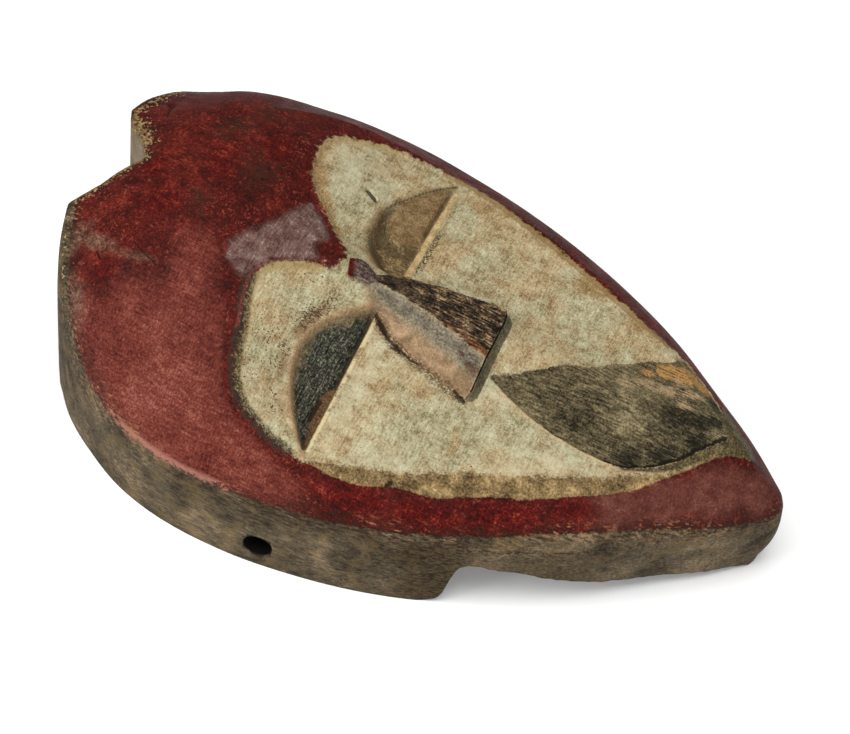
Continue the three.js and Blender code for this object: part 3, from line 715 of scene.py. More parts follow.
# Zones of soft patches, each (x, y, half length, half width, turn in degrees, strength)
PATCHES = {
    # Painted sheen: paler pinkish red on the near flank and the crown
    "flank_sheen": (
        (-45, 52, 3.4, 11, 25, 1), (-49, 34, 2.2, 12, 5, 1), (-33, 70, 5, 6, 50, 0.6),
        (-38, 44, 9, 10, 40, 0.35), (-17, 51, 12, 7, 20, 0.55), (-30, 58, 8, 5, 30, 0.45),
    ),
    "deep_red": (
        (-43, 2, 2.6, 9, 10, 1), (-40, -13, 2.8, 9, 15, 1), (-33.5, -27, 3, 9, 25, 1),
        (-26, -40, 2.6, 7, 28, 0.8), (2, 70, 3, 3, 0, 1), (10, 58, 10, 8, 0, 0.6), (-6, 64, 9, 6, 0, 0.6),
        (20, 50, 7, 5, 0, 0.7), (-24, 68, 5, 3, 30, 0.7), (30, 62, 6, 8, 0, 0.4),
    ),
    # Painted shade: darker brown red along the far flank, which faces away from the light
    "far_flank_shade": (
        (26, 70, 10, 4, -20, 0.8), (40, 52, 6, 14, -35, 0.9), (47, 30, 3, 16, 0, 0.9),
        (44, 0, 3, 24, 12, 1), (30, -40, 3, 20, 30, 1),
    ),
    # Painted sheen: pinkish red on the near side of the chin
    "chin_sheen": (
        (-15, -56, 5, 10, 30, 0.9), (-8, -65, 5, 9, 35, 1), (-3, -73, 4, 5, 20, 1),
        (-21, -48, 4.6, 10, 30, 0.85),
    ),
    "brown_crown": (
        (13, 51, 9, 7, 20, 0.9), (20, 60, 9, 5, -20, 0.8), (8, 62, 7, 5, 0, 0.6), (-2, 57, 7, 5, 20, 0.7),
        (30, 56, 7, 5, -30, 0.8),
    ),
    "bare_crown": (
        (-21, 77.6, 7, 2.4, 165, 1), (-19, 72, 7, 2.2, 80, 0.8), (-20, 63, 6, 1.6, 95, 0.6),
        (-30, 71, 7, 2.4, 40, 0.8),
    ),
    # Painted sheen: a pinkish highlight on the near flank of the red
    "near_sheen": ((-50.5, 44, 8, 20, 5, 1.2), (-46, 62, 5, 5, 30, 0.6)),
    # Painted light: paler white on the far lobe and on the near cheek
    "pale": (
        (-19, -33, 3.4, 13, 28, 1), (-10, -18, 3, 6, 20, 0.6), (28, 33, 9, 6, 20, 1),
        (-22, 10, 15, 3, 0, 0.9), (-34, -2, 4, 12, 15, 0.7), (-33, 26, 4, 6, 30, 0.6),
    ),
    "tan": (
        (14, 35.6, 6, 2.4, 45, 1), (19.4, 39.4, 4, 3, 30, 1), (8, 29.6, 4, 1.4, 45, 0.7),
        (27, 41, 5, 1.4, 0, 0.7), (-30, 28, 4, 3, 100, 0.6), (-8, 33, 4, 3, 0, 0.5),
        (28, 0, 8, 14, 30, 0.5), (36, 4, 3, 12, 15, 0.6), (26, -24, 4, 8, 20, 0.7),
        (22, -38, 3, 7, 20, 0.8), (-26, -6, 5, 8, 20, 0.4), (-12, -22, 3, 5, 20, 0.5),
        (-20, -20, 3, 5, 30, 0.3), (-34, 8, 3, 5, 10, 0.5), (14, 2, 5, 9, 10, 0.4),
        (-19, 6, 5, 2.6, 0, 0.6), (-18, -2, 3, 4, 0, 0.55), (-24, -12, 5, 2.4, 20, 0.6),
    ),
    "speckled": (
        (-12, 25.5, 4, 2.4, 150, 1), (-20, 31, 8, 5, 160, 0.5), (-6.5, 29, 2.4, 3, 0, 0.5),
        (-28, 32, 6, 3, 0, 0.6), (-13, 25.6, 6, 2.4, 160, 1.3), (-24, 27, 6, 2, 185, 0.91),
        (-8, 23.6, 3, 2, 150, 1.04), (-33, 24, 4, 2, 220, 0.65),
    ),
    # Painted shade: brown on the white above the near eye's arc, where the surface dips
    "brow_shade": (
        (-15, 25.8, 7, 2, 165, 0.9), (-25, 26, 6, 1.8, 190, 0.8), (-33, 22.4, 4, 1.6, 220, 0.7),
        (-10, 24, 3, 2, 150, 0.8),
    ),
    # Painted shade in the far eye's hollow, which faces away from the light, and darker olive patches at
    # the root of the nose
    "olive": (
        (7.6, 18.6, 4.6, 3.2, 60, 1), (14, 22.4, 6, 1.8, 15, 0.9), (12, 15.4, 6, 2.6, 0, 0.85),
        (22, 23.6, 6, 1, -12, 0.6), (10, 21, 5, 3, 40, 0.6), (-5, 15, 2.6, 2.4, 120, 0.8),
        (-8, 10.5, 1.8, 3.2, 30, 0.9), (-2.5, 17.5, 2.4, 2, 0, 0.5), (-10.4, 5.6, 1.2, 3, 20, 0.7),
    ),
    "near_soot": (
        (-17, 19, 8, 5, 0, 1), (-25, 18.6, 9, 5, 0, 1), (-34, 17, 7, 3, 10, 1),
        (-10.5, 16.4, 5, 2.4, -10, 1),
    ),
    "lid_shade": (
        (21, 23.2, 5, 1, -12, 1), (15.4, 21.8, 3.6, 2.2, 20, 1), (14, 18.4, 1.8, 3, 0, 1),
        (9.6, 20.8, 3.6, 1.8, 45, 1), (6.4, 18, 1.6, 2.6, 30, 0.8), (15, 14.4, 3, 1.6, 0, 0.9),
    ),
    # Painted shade on the upper part of the nose
    "nose_top_shade": (
        (2, 13, 4, 3, 110, 1), (1, 8, 5, 2, 100, 0.8), (5.4, 2, 5, 1.4, 95, 0.6),
        (-2, 13.6, 3, 2, 100, 0.7),
    ),
    "rust": ((-4.6, -8, 4, 1.1, 70, 0.9), (-3, -2, 5, 0.8, 80, 0.7), (-1, -9, 2, 1, 60, 0.5)),
    "stain": ((-9.6, -9.6, 2.6, 1.2, 70, 1), (-7, -5.6, 2, 0.8, 70, 0.6)),
    # Darker along the near foot of the nose
    "nose_foot_dark": (
        (-7.4, 12, 3.4, 1, 60, 1), (-10.4, 7, 2.2, 1, 80, 0.9), (-11.4, 1, 3, 0.7, 80, 0.5),
        (-13, -5, 3, 0.7, 80, 0.5), (-14.6, -9.4, 2, 1, 80, 0.9),
    ),
    "chin_dark": (
        (5, -58, 5, 2.6, 130, 1), (-0.6, -57.4, 4, 2.6, 140, 0.9), (-10, -45.4, 3.6, 2.2, 110, 1),
        (-6.4, -51.4, 4, 2, 130, 0.9), (-6, -32, 9, 3, 110, 0.3), (2, -52, 8, 5, 120, 0.7),
        (-8.6, -37, 8, 3, 100, 0.35), (12, -58, 4, 2, 60, 0.7),
    ),
    "peach_chin": (
        (4.6, -39, 3, 1.4, 110, 0.8), (10.6, -53, 3.4, 1.4, 110, 0.9), (7.4, -43, 3.4, 1.6, 110, 0.9),
        (8.2, -47.4, 3.6, 2, 100, 1), (6.8, -52.4, 3, 1.4, 100, 1), (12, -49, 3, 2, 110, 0.7),
    ),
    "bare_chin": (
        (11, -42.6, 2.4, 1.4, 110, 0.7), (13.4, -46.6, 3.4, 2.2, 110, 1), (14.8, -50.6, 3.4, 2.8, 110, 1),
        (14.4, -55, 2.6, 2, 110, 0.9),
    ),
}
WALL_DARK = ((-43, -18, 6, 10, 15, 1), (-34, -42, 4, 10, 28, 1))


def stripe(x, y, line, half_width):
    """1 along a line, easing to 0 at half_width from it."""
    return 1 - ease(0.15, 1, distance_to(x, y, line) / half_width)


def stripes(x, y, half_width, *lines):
    """The strongest of several stripes."""
    return np.maximum.reduce([stripe(x, y, line, half_width) for line in lines])


def blots(x, y, spots):
    """Soft patches, each (x, y, half length, half width, turn in degrees, strength)."""
    total = np.zeros_like(x)
    for cx, cy, long, short, turn, strength in spots:
        c, s = math.cos(math.radians(turn)), math.sin(math.radians(turn))
        along, across = (x - cx) * c + (y - cy) * s, (y - cy) * c - (x - cx) * s
        total = np.maximum(total, strength * np.exp(-(along / long) ** 2 - (across / short) ** 2))
    return total


def outline_zones(x, y, z, on_front, on_wall):
    """Where the red ends at the outline, the notch's bare wall and the crumbled edge above it."""
    edge = distance_to(x, y, outline())
    cut = distance_to(x, y, outline(True))
    notch_wall = on_wall & (edge > 0.8) & inside(x, y, outline())
    lift = np.where(x < 0, curve(PAINT_EDGE_LIFTS, y), 0)
    fall = np.maximum(curve(WALL_TOPS, y) - z, 0)
    on_top = np.minimum(edge - lift, cut * 0.8 - 0.2)
    crumble_run = np.where(x > NOTCH_FAR_SHOULDER_X, *CRUMBLE_RUNS)
    crumble = np.exp(-np.maximum(cut - 0.2, 0) / crumble_run) * ease(0.3, 1.2, edge)
    return {
        "paint": np.where(on_front, on_top, np.where(notch_wall, -3, -fall)),
        "notch_wall": notch_wall.astype(float),
        "crumble": crumble * ease(*CRUMBLE_STARTS_Y, y),
    }


def field_zones(x, y):
    """The white heart, its cream part on the near side, painted shade at its lobes' edge, and the worn red
    beside it.
    """
    heart = depth_in(x, y, rounded(HEART))
    near_cream = np.minimum(heart, depth_in(x, y, CREAM_NEAR_EDGE + CREAM_FAR_CORNERS))
    near_side = (1 - ease(*WORN_SIDE_X, x)) * (1 - ease(*WORN_SIDE_ENDS_Y, y))
    return {
        "heart": heart,
        "cream": np.where(x < 0, near_cream, heart),
        # Painted shade just inside the edge of the recessed lobes
        "lobe_edge_shade": (1 - ease(0.3, 2.4, np.abs(heart - 0.4))) * ease(*LOBES_START_Y, y),
        "worn_side": near_side * ease(*WORN_SIDE_STARTS_Y, y) * ease(0.5, 5, -heart),
    }


def eye_zones(x, y):
    """Fine lines round both eyes, among them a painted highlight along the near cheek's edge and a painted
    shadow along the far eye's arc, and painted shade in the groove under the far eye's lip.
    """
    to_edge = np.abs(y - NEAR_EYE["edge_y"] + 0.5)
    past_corner = (x > CHEEK_HIGHLIGHT_X[1]) | (x < CHEEK_HIGHLIGHT_X[0])
    return {
        "arc_rim": 1 - distance_to(x, y, eye_arc(NEAR_EYE)),
        "cheek_edge_highlight": 0.5 - to_edge - WELL_OUTSIDE * past_corner,
        "far_arc_shadow": 0.45 - distance_to(x, y, FAR_GROOVE),
        "lip": FAR_LIP_HALF_WIDTH - distance_to(x, y, FAR_LIP),
        "lip_groove_shade": straight(LIP_GROOVE_SHADE, x) * stripe(x, y, LIP_GROOVE, LIP_GROOVE_SHADE_HALF_WIDTH),
    }


def nose_zones(x, y):
    """The lengthwise strips of the nose, its cut end, and the stub on the bridge."""
    rows = nose_lines()[0]
    past_end = straight(NOSE_END, x) - y
    zones = {}
    for name, first, second in (("nose_side", 0, 1), ("nose_near", 1, 2), ("nose_far", 2, 4)):
        strip = np.concatenate([rows[first], rows[second][::-1]])
        zones[name] = np.minimum(depth_in(x, y, strip), -past_end)
    across = np.minimum(x - NOSE_END_X[0], NOSE_END_X[1] - x)
    zones["nose_end"] = np.minimum.reduce([past_end + 0.1, NOSE_END_SLOPE - 0.2 - past_end, across])
    past_corner = (x < END_LINE_X[0]) | (x > END_LINE_X[1])
    zones["end_line"] = 0.24 - np.abs(past_end + 0.02) - WELL_OUTSIDE * past_corner
    zones["stub_end"] = ease(*STUB_END_Y, y - 0.3 * x)
    return zones


def write_zone(mesh, name, values):
    layer = mesh.attributes.new(name, "FLOAT", "POINT")
    layer.data.foreach_set("value", np.clip(values, -WELL_OUTSIDE, WELL_OUTSIDE).astype(np.float32))


def lay_out_paint(mesh):
    """Gives every point its value in every zone of paint, for the material to read."""
    place = np.zeros(len(mesh.vertices) * 3)
    part = np.zeros(len(mesh.vertices))
    mesh.vertices.foreach_get("co", place)
    mesh.attributes["part"].data.foreach_get("value", part)
    x, y, z = place.reshape(-1, 3).T
    from_bore = np.hypot(y - TIE_HOLE_Y, z - TIE_HOLE_Z) - TIE_HOLE_DIAMETER / 2
    bore = (np.abs(x) > BORE_FROM_X) & (from_bore < 0.05)
    part = np.where(bore, UNDERSIDE, part)
    on_front = part < 0.5
    on_wall = (part > 0.5) & (part < 1.5)

    zones = outline_zones(x, y, z, on_front, on_wall)
    # The inside of the tie holes, painted near black as shade
    zones["bore"] = bore.astype(float)
    zones["inside_wood"] = (part > 1.5).astype(float)
    zones["dark_end"] = blots(x, y, WALL_DARK) * on_wall
    everywhere = ("paint", "notch_wall", "inside_wood", "bore", "dark_end")
    zones |= field_zones(x, y) | eye_zones(x, y) | nose_zones(x, y)
    zones |= {name: depth_in(x, y, line) for name, line in FIELDS.items()}
    zones |= {name: stripes(x, y, *rows) for name, rows in STRIPES.items()}
    zones["marks"] = np.maximum.reduce([stripe(x, y, line, 1.7 * width) for line, width, _ in DEEP_MARKS])
    zones |= {name: blots(x, y, spots) for name, spots in PATCHES.items()}
    # The painted sheen on the near flank is held to 1
    zones["near_sheen"] = np.minimum(zones["near_sheen"], 1)
    for name, values in zones.items():
        if name not in everywhere:
            values = np.where(on_front, values, -WELL_OUTSIDE if values.min() < 0 else 0)
        write_zone(mesh, name, values)


# Noises of the paint: size of a lump in millimetres, detail, roughness, and how it is drawn out and turned
NOISES = {
    "broad": dict(size=13, detail=3, rough=0.5, warp=0.4),
    "blotchy": dict(size=4.5, detail=5, rough=0.6, shift=11, warp=0.5),
    "patchy": dict(size=2.2, detail=6, rough=0.66, stretch=(1, 1.4, 1), shift=15, warp=0.3),
    "smears": dict(size=1.9, detail=5, rough=0.7, stretch=(1, 1.7, 1), shift=53, warp=0.4),
    "ragged": dict(size=1.1, detail=5, rough=0.75, stretch=(1, 1.5, 1), shift=5),
    "grit": dict(size=0.75, detail=3, rough=0.6, shift=37),
    "fine": dict(size=0.46, detail=3, rough=0.7, shift=31),
    "pits": dict(size=0.34, detail=2, rough=0.6, stretch=(1, 1.8, 1), shift=71),
    "streaks": dict(size=0.6, detail=4, rough=0.66, stretch=(1, 9, 1), shift=61),
    "grain": dict(size=0.42, detail=3, rough=0.65, stretch=(1, 7, 1.2), shift=3),
    "dashes": dict(size=0.4, detail=2, rough=0.6, stretch=(1, 3, 1), turn=6, shift=23),
    "scratch": dict(size=0.32, detail=2, rough=0.6, stretch=(9, 1, 2), turn=24, shift=41),
}

# Mottled tones: how strongly each noise mottles them, then stops of (value, red, green, blue)
CHALK = dict(fine=0.7, scratch=0.4, grit=0.3, patchy=0.5, blotchy=0.5)
TONES = {
    "olive wood": (dict(fine=0.5, grain=0.7, broad=0.9, patchy=0.5), (
        (0.24, 34, 27, 19), (0.42, 68, 59, 45), (0.56, 89, 78, 61), (0.8, 138, 119, 92))),
    "dark wall": (dict(grain=1), ((0.36, 26, 19, 11), (0.66, 84, 70, 46))),
    "cut wood": (dict(fine=0.6, blotchy=0.5), (
        (0.25, 78, 64, 47), (0.5, 118, 103, 83), (0.75, 152, 137, 112))),
    "red": (dict(fine=0.9, patchy=0.7, broad=0.5), (
        (0.24, 24, 4, 3), (0.42, 58, 13, 9), (0.56, 80, 21, 15), (0.8, 126, 46, 34))),
    "vivid red": (dict(fine=0.6, scratch=0.5, grain=0.6, patchy=0.7), (
        (0.24, 20, 3, 3), (0.44, 60, 8, 6), (0.6, 92, 17, 12), (0.84, 148, 70, 52))),
    # Paler red, for the worn near side and for the painted sheen on the near flank
    "worn and sheen red": (dict(fine=0.7, grain=0.6, scratch=0.5, patchy=0.35, broad=0.4), (
        (0.24, 56, 18, 14), (0.42, 92, 38, 30), (0.58, 114, 57, 46), (0.84, 154, 101, 84))),
    # Pinkish red for the painted sheen on the chin
    "chin sheen red": (dict(fine=0.7, patchy=0.6, blotchy=0.4), (
        (0.24, 56, 24, 19), (0.42, 82, 42, 34), (0.58, 100, 58, 48), (0.8, 134, 92, 78))),
    # Dark brown red for the painted shade on the far flank
    "brown red": (dict(fine=1), ((0.3, 44, 12, 9), (0.7, 88, 30, 23))),
    "bare crown": (dict(fine=1, patchy=0.9), (
        (0.24, 44, 30, 22), (0.45, 90, 66, 52), (0.6, 122, 98, 80), (0.8, 150, 128, 106))),
    "crumbs": (dict(grit=0.9, fine=0.6), ((0.3, 54, 40, 24), (0.5, 118, 94, 60), (0.72, 178, 150, 106))),
    # Grey-violet of the polished patch, with a painted reflection in its lighter streaks
    "burnish and reflection": (dict(patchy=0.9, fine=0.6, scratch=0.5, blotchy=0.4), (
        (0.22, 56, 28, 24), (0.44, 90, 66, 59), (0.6, 112, 92, 84), (0.8, 164, 148, 138))),
    "warm chalk": (CHALK, (
        (0.22, 84, 65, 40), (0.38, 130, 108, 76), (0.5, 156, 137, 103), (0.62, 171, 155, 120),
        (0.84, 200, 188, 152))),
    "cool chalk": (CHALK, (
        (0.22, 76, 69, 46), (0.38, 124, 115, 84), (0.5, 150, 142, 111), (0.62, 167, 161, 131),
        (0.84, 200, 196, 166))),
    "ochre chalk": (CHALK, (
        (0.22, 76, 54, 30), (0.42, 122, 97, 62), (0.56, 148, 122, 84), (0.8, 184, 162, 120))),
    "tan wood": (dict(fine=0.8, patchy=0.8, blotchy=0.5), (
        (0.24, 46, 34, 20), (0.42, 92, 75, 49), (0.56, 126, 104, 70), (0.8, 182, 154, 108))),
    "soot": (dict(fine=1.2, scratch=0.8), (
        (0.26, 16, 17, 14), (0.46, 44, 44, 37), (0.6, 72, 72, 60), (0.8, 130, 128, 108))),
    "olive": (dict(fine=0.9, patchy=0.6), ((0.24, 56, 46, 28), (0.5, 104, 92, 66), (0.78, 150, 136, 104))),
    "eye rim": (dict(fine=0.7, patchy=0.5), (
        (0.25, 108, 82, 58), (0.5, 146, 118, 87), (0.75, 176, 148, 112))),
    "strip": (dict(fine=0.8, dashes=0.6), ((0.26, 44, 31, 20), (0.5, 88, 66, 45), (0.76, 128, 102, 72))),
    "lid": (dict(fine=0.9, patchy=0.8, blotchy=0.4), (
        (0.24, 66, 50, 28), (0.5, 112, 90, 61), (0.78, 150, 127, 92))),
    "bowl": (dict(fine=1, dashes=0.8, patchy=0.9), (
        (0.26, 42, 31, 15), (0.5, 96, 78, 50), (0.76, 152, 128, 90))),
    "bowl shade": (dict(fine=1), ((0.3, 34, 25, 11), (0.7, 70, 55, 30))),
    "lip": (dict(fine=0.7, patchy=0.7), ((0.24, 112, 82, 42), (0.5, 164, 140, 98), (0.78, 204, 188, 144))),
    "chin soot": (dict(fine=0.8, grain=0.8, broad=0.6, patchy=0.5), (
        (0.24, 26, 23, 15), (0.42, 73, 65, 46), (0.56, 103, 92, 67), (0.8, 152, 137, 104))),
    "deep soot": (dict(grain=1.1, fine=0.9), ((0.3, 12, 11, 8), (0.56, 38, 35, 26), (0.8, 84, 78, 60))),
    "peach streak": (dict(fine=1), ((0.3, 116, 95, 69), (0.66, 170, 146, 112))),
    "bare streak": (dict(fine=1), ((0.3, 122, 86, 44), (0.66, 176, 136, 84))),
    "chin end": (dict(fine=1, patchy=0.6), ((0.3, 34, 29, 17), (0.5, 72, 63, 42), (0.7, 116, 102, 72))),
    "nose dark": (dict(grain=1.2, fine=0.8, patchy=0.9), (
        (0.28, 12, 11, 9), (0.46, 42, 35, 27), (0.6, 86, 67, 48), (0.8, 166, 138, 104))),
    "rust": (dict(grain=1, fine=0.8), ((0.3, 44, 24, 14), (0.55, 110, 68, 40), (0.75, 158, 112, 72))),
    "nose grey": (dict(fine=0.9, blotchy=0.7, grain=0.5), (
        (0.24, 46, 42, 36), (0.5, 103, 95, 82), (0.78, 154, 141, 120))),
    "nose end": (dict(fine=0.8, patchy=0.7), ((0.3, 52, 46, 32), (0.5, 86, 80, 60), (0.7, 116, 108, 84))),
    "peach": (dict(fine=0.7, blotchy=0.9, patchy=0.4), (
        (0.24, 92, 70, 48), (0.5, 136, 112, 84), (0.78, 178, 148, 118))),
    "stub": (dict(grain=1, fine=0.8), ((0.3, 26, 14, 12), (0.5, 76, 60, 54), (0.75, 132, 114, 104))),
    "stub end": (dict(fine=1), ((0.35, 34, 4, 4), (0.7, 92, 26, 20))),
}

# Coats over a finish's own mottled tones, one after another: each is (tone or finish, strength, masks).
# A mask is (zone, raggedness, low, high) for a patch with a ragged edge, or (zone or value, low, high)
# for one eased from low to high, or a name alone for a zone or a value as it is.
COATS = {
    "olive wood": (
        ((116, 96, 62), 0.35, ("blotchy", 0.5, 0.64)),
        ("dark wall", 0.7, ("dark_end", 0.8, 0.1, 1)),
        ("cut wood", 1, "notch_wall"),
        ((56, 45, 32), 0.6, "inside_wood"),
        # Painted shade: the inside of the tie holes is near black
        ((13, 10, 7), 1, "bore"),
    ),
    "red": (
        ((36, 15, 10), 0.7, ("dashes", 0.52, 0.62)),
        ((132, 66, 50), 0.6, ("grit", 0.56, 0.66), ("blotchy", 0.4, 0.56)),
        ((48, 30, 20), 0.85, ("brown_crown", 1.2, 0.3, 0.8), ("dashes", 0.4, 0.56)),
        ("worn and sheen red", 0.8, ("worn_side", 0.9, 0.2, 0.9)),
        # Painted sheen on the near flank and the crown
        ("worn and sheen red", 1, ("flank_sheen", 0.5, 0.15, 0.6)),
        # Painted sheen on the near side of the chin
        ("chin sheen red", 0.9, ("chin_sheen", 0.8, 0.2, 0.8)),
        ("vivid red", 0.9, ("deep_red", 1.2, 0.2, 0.8)),
        # Painted shade along the far flank
        ("brown red", 0.75, "far_flank_shade"),
        ((38, 20, 14), 0.6, ("paint", 1.2, 0), ("dashes", 0.44, 0.56)),
        # Painted sheen: a pinkish-cream highlight along the red's edge on the near flank
        ((168, 116, 100), 0.7, ("near_sheen", 2.6, 0.5, 0.7), ("paint", 0.8, 0.15)),
        ("bare crown", 0.75, ("bare_crown", 1, 0.15, 1)),
        ((30, 12, 8), 0.8, ("cracks", 1, 0.6, 0.9)),
    ),
    "warm chalk": (
        ("cool chalk", 1, ("cooler", 0.36, 0.64)),
        ((122, 98, 66), 0.4, ("smears", 0.56, 0.64)),
        # Painted light: paler white on the far lobe and on the near cheek
        ((184, 180, 150), 0.5, "pale", ("patchy", 0.3, 0.6)),
        # Painted shade along the edge of the recessed lobes
        ((142, 120, 76), 0.6, ("lobe_edge_shade", 0.8, 0.3, 1)),
        ("ochre chalk", 0.85, ("tan", 0.8, 0.3, 0.7)),
        ((120, 94, 56), 0.7, ("far_border", 1, 0.4, 0.55)),
        # Painted shade above the near eye's arc
        ((118, 92, 64), 0.7, ("brow_shade", 0.8, 0.3, 0.8)),
        ((66, 46, 29), 0.85, "pores"),
        # Painted shade in the groove under the far eye's lip
        ((50, 40, 27), 0.9, ("lip_groove_shade", 1, 0.5, 0.8), ("pits", 0.44, 0.54)),
    ),
    "bowl": (("bowl shade", 0.9, ("lid_shade", 0.6, 0.1, 0.8)),),
    "chin soot": (
        ("deep soot", 0.9, ("chin_dark", 1.6, 0.15, 0.75)),
        ("peach streak", 0.85, ("peach_chin", 1.6, 0.3, 0.75), ("grain", 0.38, 0.5)),
        ("bare streak", 0.9, ("bare_chin", 1.4, 0.25, 0.7), ("grain", 0.36, 0.46)),
        ((16, 15, 11), 0.9, ("soot_line", 2.4, 0.5, 0.7)),
    ),
    "nose dark": (
        # Painted shade on the upper part of the nose
        ((20, 20, 16), 0.9, ("nose_top_shade", 1.2, 0.2, 0.9), ("grain", 0.36, 0.6)),
        ("rust", 0.8, ("rust", 0.9, 0.4, 0.55)),
    ),
    "nose grey": (
        # Painted shade on the upper part of the nose
        ((62, 58, 46), 0.7, ("nose_top_shade", 1.4, 0.2, 0.9)),
        ((66, 42, 34), 0.8, ("stain", 0.9, 0.4, 0.55)),
    ),
    "stub": (("stub end", 1, "stub_end"),),
}

# The finishes over the bare wood, in the order in which they were laid on, given as coats too
LAYERS = {
    "red and its worn edge": (
        ("red", 1, "painted"),
        ((44, 28, 20), 0.8, "at_edge", "gaps"),
        ((152, 112, 80), 0.75, "at_edge", ("streaks", 0.56, 0.63), ("broad", 0.4, 0.54)),
        ("crumbs", 0.9, "crumbled"),
        ((150, 66, 54), 0.55, ("red_edge", 1.6, 0.5, 0.9)),
    ),
    "white heart": (
        # The dark band along the near lobe's border
        ((46, 34, 28), 0.12, "lobe_border_dark"),
        ("tan wood", 1, "whitened"),
        ("warm chalk", 1, ("cream", 6, -0.5, 0.5)),
        ((44, 42, 34), 0.9, "lobe_border_dark"),
        # Painted shade in the far eye's hollow, and darker patches at the nose root
        ("peach", 0.8, ("olive", 0.5, 0.1, 0.8)),
    ),
    "near eye": (
        ("olive", 1, ("near_eye", 0.6, -0.3, 0.3)),
        ("soot", 1, ("near_soot", 1.2, 0.32, 0.62), ("near_eye", 0.3, 1.6)),
        # Painted shade along the near eye's deepest edge
        ((18, 17, 13), 0.8, "eye_edge_shade", ("near_eye", 0, 0.2)),
        ("eye rim", 0.8, ("arc_rim", 1, -0.1, 0.9)),
        # Painted highlight along the near cheek's edge
        ((204, 188, 144), 0.6, ("cheek_edge_highlight", 0, 0.3), ("patchy", 0.4, 0.5)),
        ("strip", 1, ("red_strip", 1, -0.15, 0.15)),
    ),
    "far eye": (
        ("bowl", 0.85, ("far_eye", -1.6, 1.2)),
        ("lid", 1, ("lid", 0.4, 0.2, 0.9), ("far_eye", 0.1, 0.4)),
        # Painted shadow along the far eye's arc
        ((56, 42, 22), 0.75, ("far_arc_shadow", 0.3, 0, 0.3)),
        ("lip", 1, ("lip", 0.9, 0.05, 0.25)),
    ),
    "chin": (
        ("chin end", 1, ("chin_end", 1.6, -0.3, 0.3)),
        ("chin soot", 1, ("chin_soot", 1.6, -0.15, 0.15)),
        ((176, 150, 112), 0.8, ("step_edge", 1.6, 0.4, 0.55), ("grit", 0.38, 0.54)),
    ),
    "nose": (
        ("peach", 1, ("nose_side", 1.4, -0.5, 0.5)),
        ((62, 45, 30), 0.75, ("base_crack", 1.2, 0.2, 1), ("pits", 0.4, 0.54)),
        # Darker along the near foot of the nose
        ((42, 31, 20), 0.85, ("nose_foot_dark", 2, 0.55, 0.7)),
        ("nose grey", 1, ("nose_near", 1.6, -1.7, 1.7)),
        ("nose dark", 1, ("nose_far", 2.2, -0.2, 0.2)),
        ("nose end", 1, ("nose_end", 0.5, 0, 0.2)),
        ((16, 12, 9), 1, ("end_line", 0.3, 0, 0.12)),
        ((44, 36, 25), 0.7, ("stub_shade", 0.8, 0.4, 1.2)),
        ("stub", 1, ("stub", -0.7, -0.3)),
    ),
    "wear": (
        # The polished patch, painted grey-violet with its reflection
        ("burnish and reflection", 0.85, "polished"),
        ((34, 24, 16), 0.85, ("marks", 0.8, 0.45, 0.7)),
    ),
}

# Gloss and fine relief, relief in millimetres
PAINT_SHINE = 0.07
WOOD_ROUGHNESS = 0.8
RED_ROUGHNESS = (0.55, 0.7)
WHITE_ROUGHNESS = 0.85
BURNISH_ROUGHNESS = 0.32
ROUGHNESS_SPREAD = 0.2
RELIEF = dict(grain=0.1, fine=0.12, patchy=0.16, painted=0.12)
PORE_DEPTH = 0.16
CRUMB_HEIGHT = 0.7
CRUMB_RAGGEDNESS = 2.6
SPECKLED_MORE = 0.24
BURNISH_SWELL = 0.8

# Floor, sky and lights: each light is (name, place in metres, side in metres, power in watts)
FLOOR_HALF_SIZE = 4.0
FLOOR_COLOUR = (0.93, 0.93, 0.93, 1)
FLOOR_ROUGHNESS = 0.9
FLOOR_SHINE = 0.1
SKY_STRENGTH = 0.3
LIGHTS = (
    ("crown_side", (-0.45, 0.6, 0.6), 0.5, 5),
    ("chin_side", (-0.45, -0.6, 0.6), 0.5, 2.5),
    ("overhead", (-0.1, 0.1, 0.95), 0.6, 7),
)


# The finishes: tools
def tone(red, green, blue):
    """A colour as the eye names it, 0 to 255, in the shader's own scale."""
    channels = [c / 255 for c in (red, green, blue)]
    return tuple(c / 12.92 if c <= 0.04045 else ((c + 0.055) / 1.055) ** 2.4 for c in channels) + (1.0,)


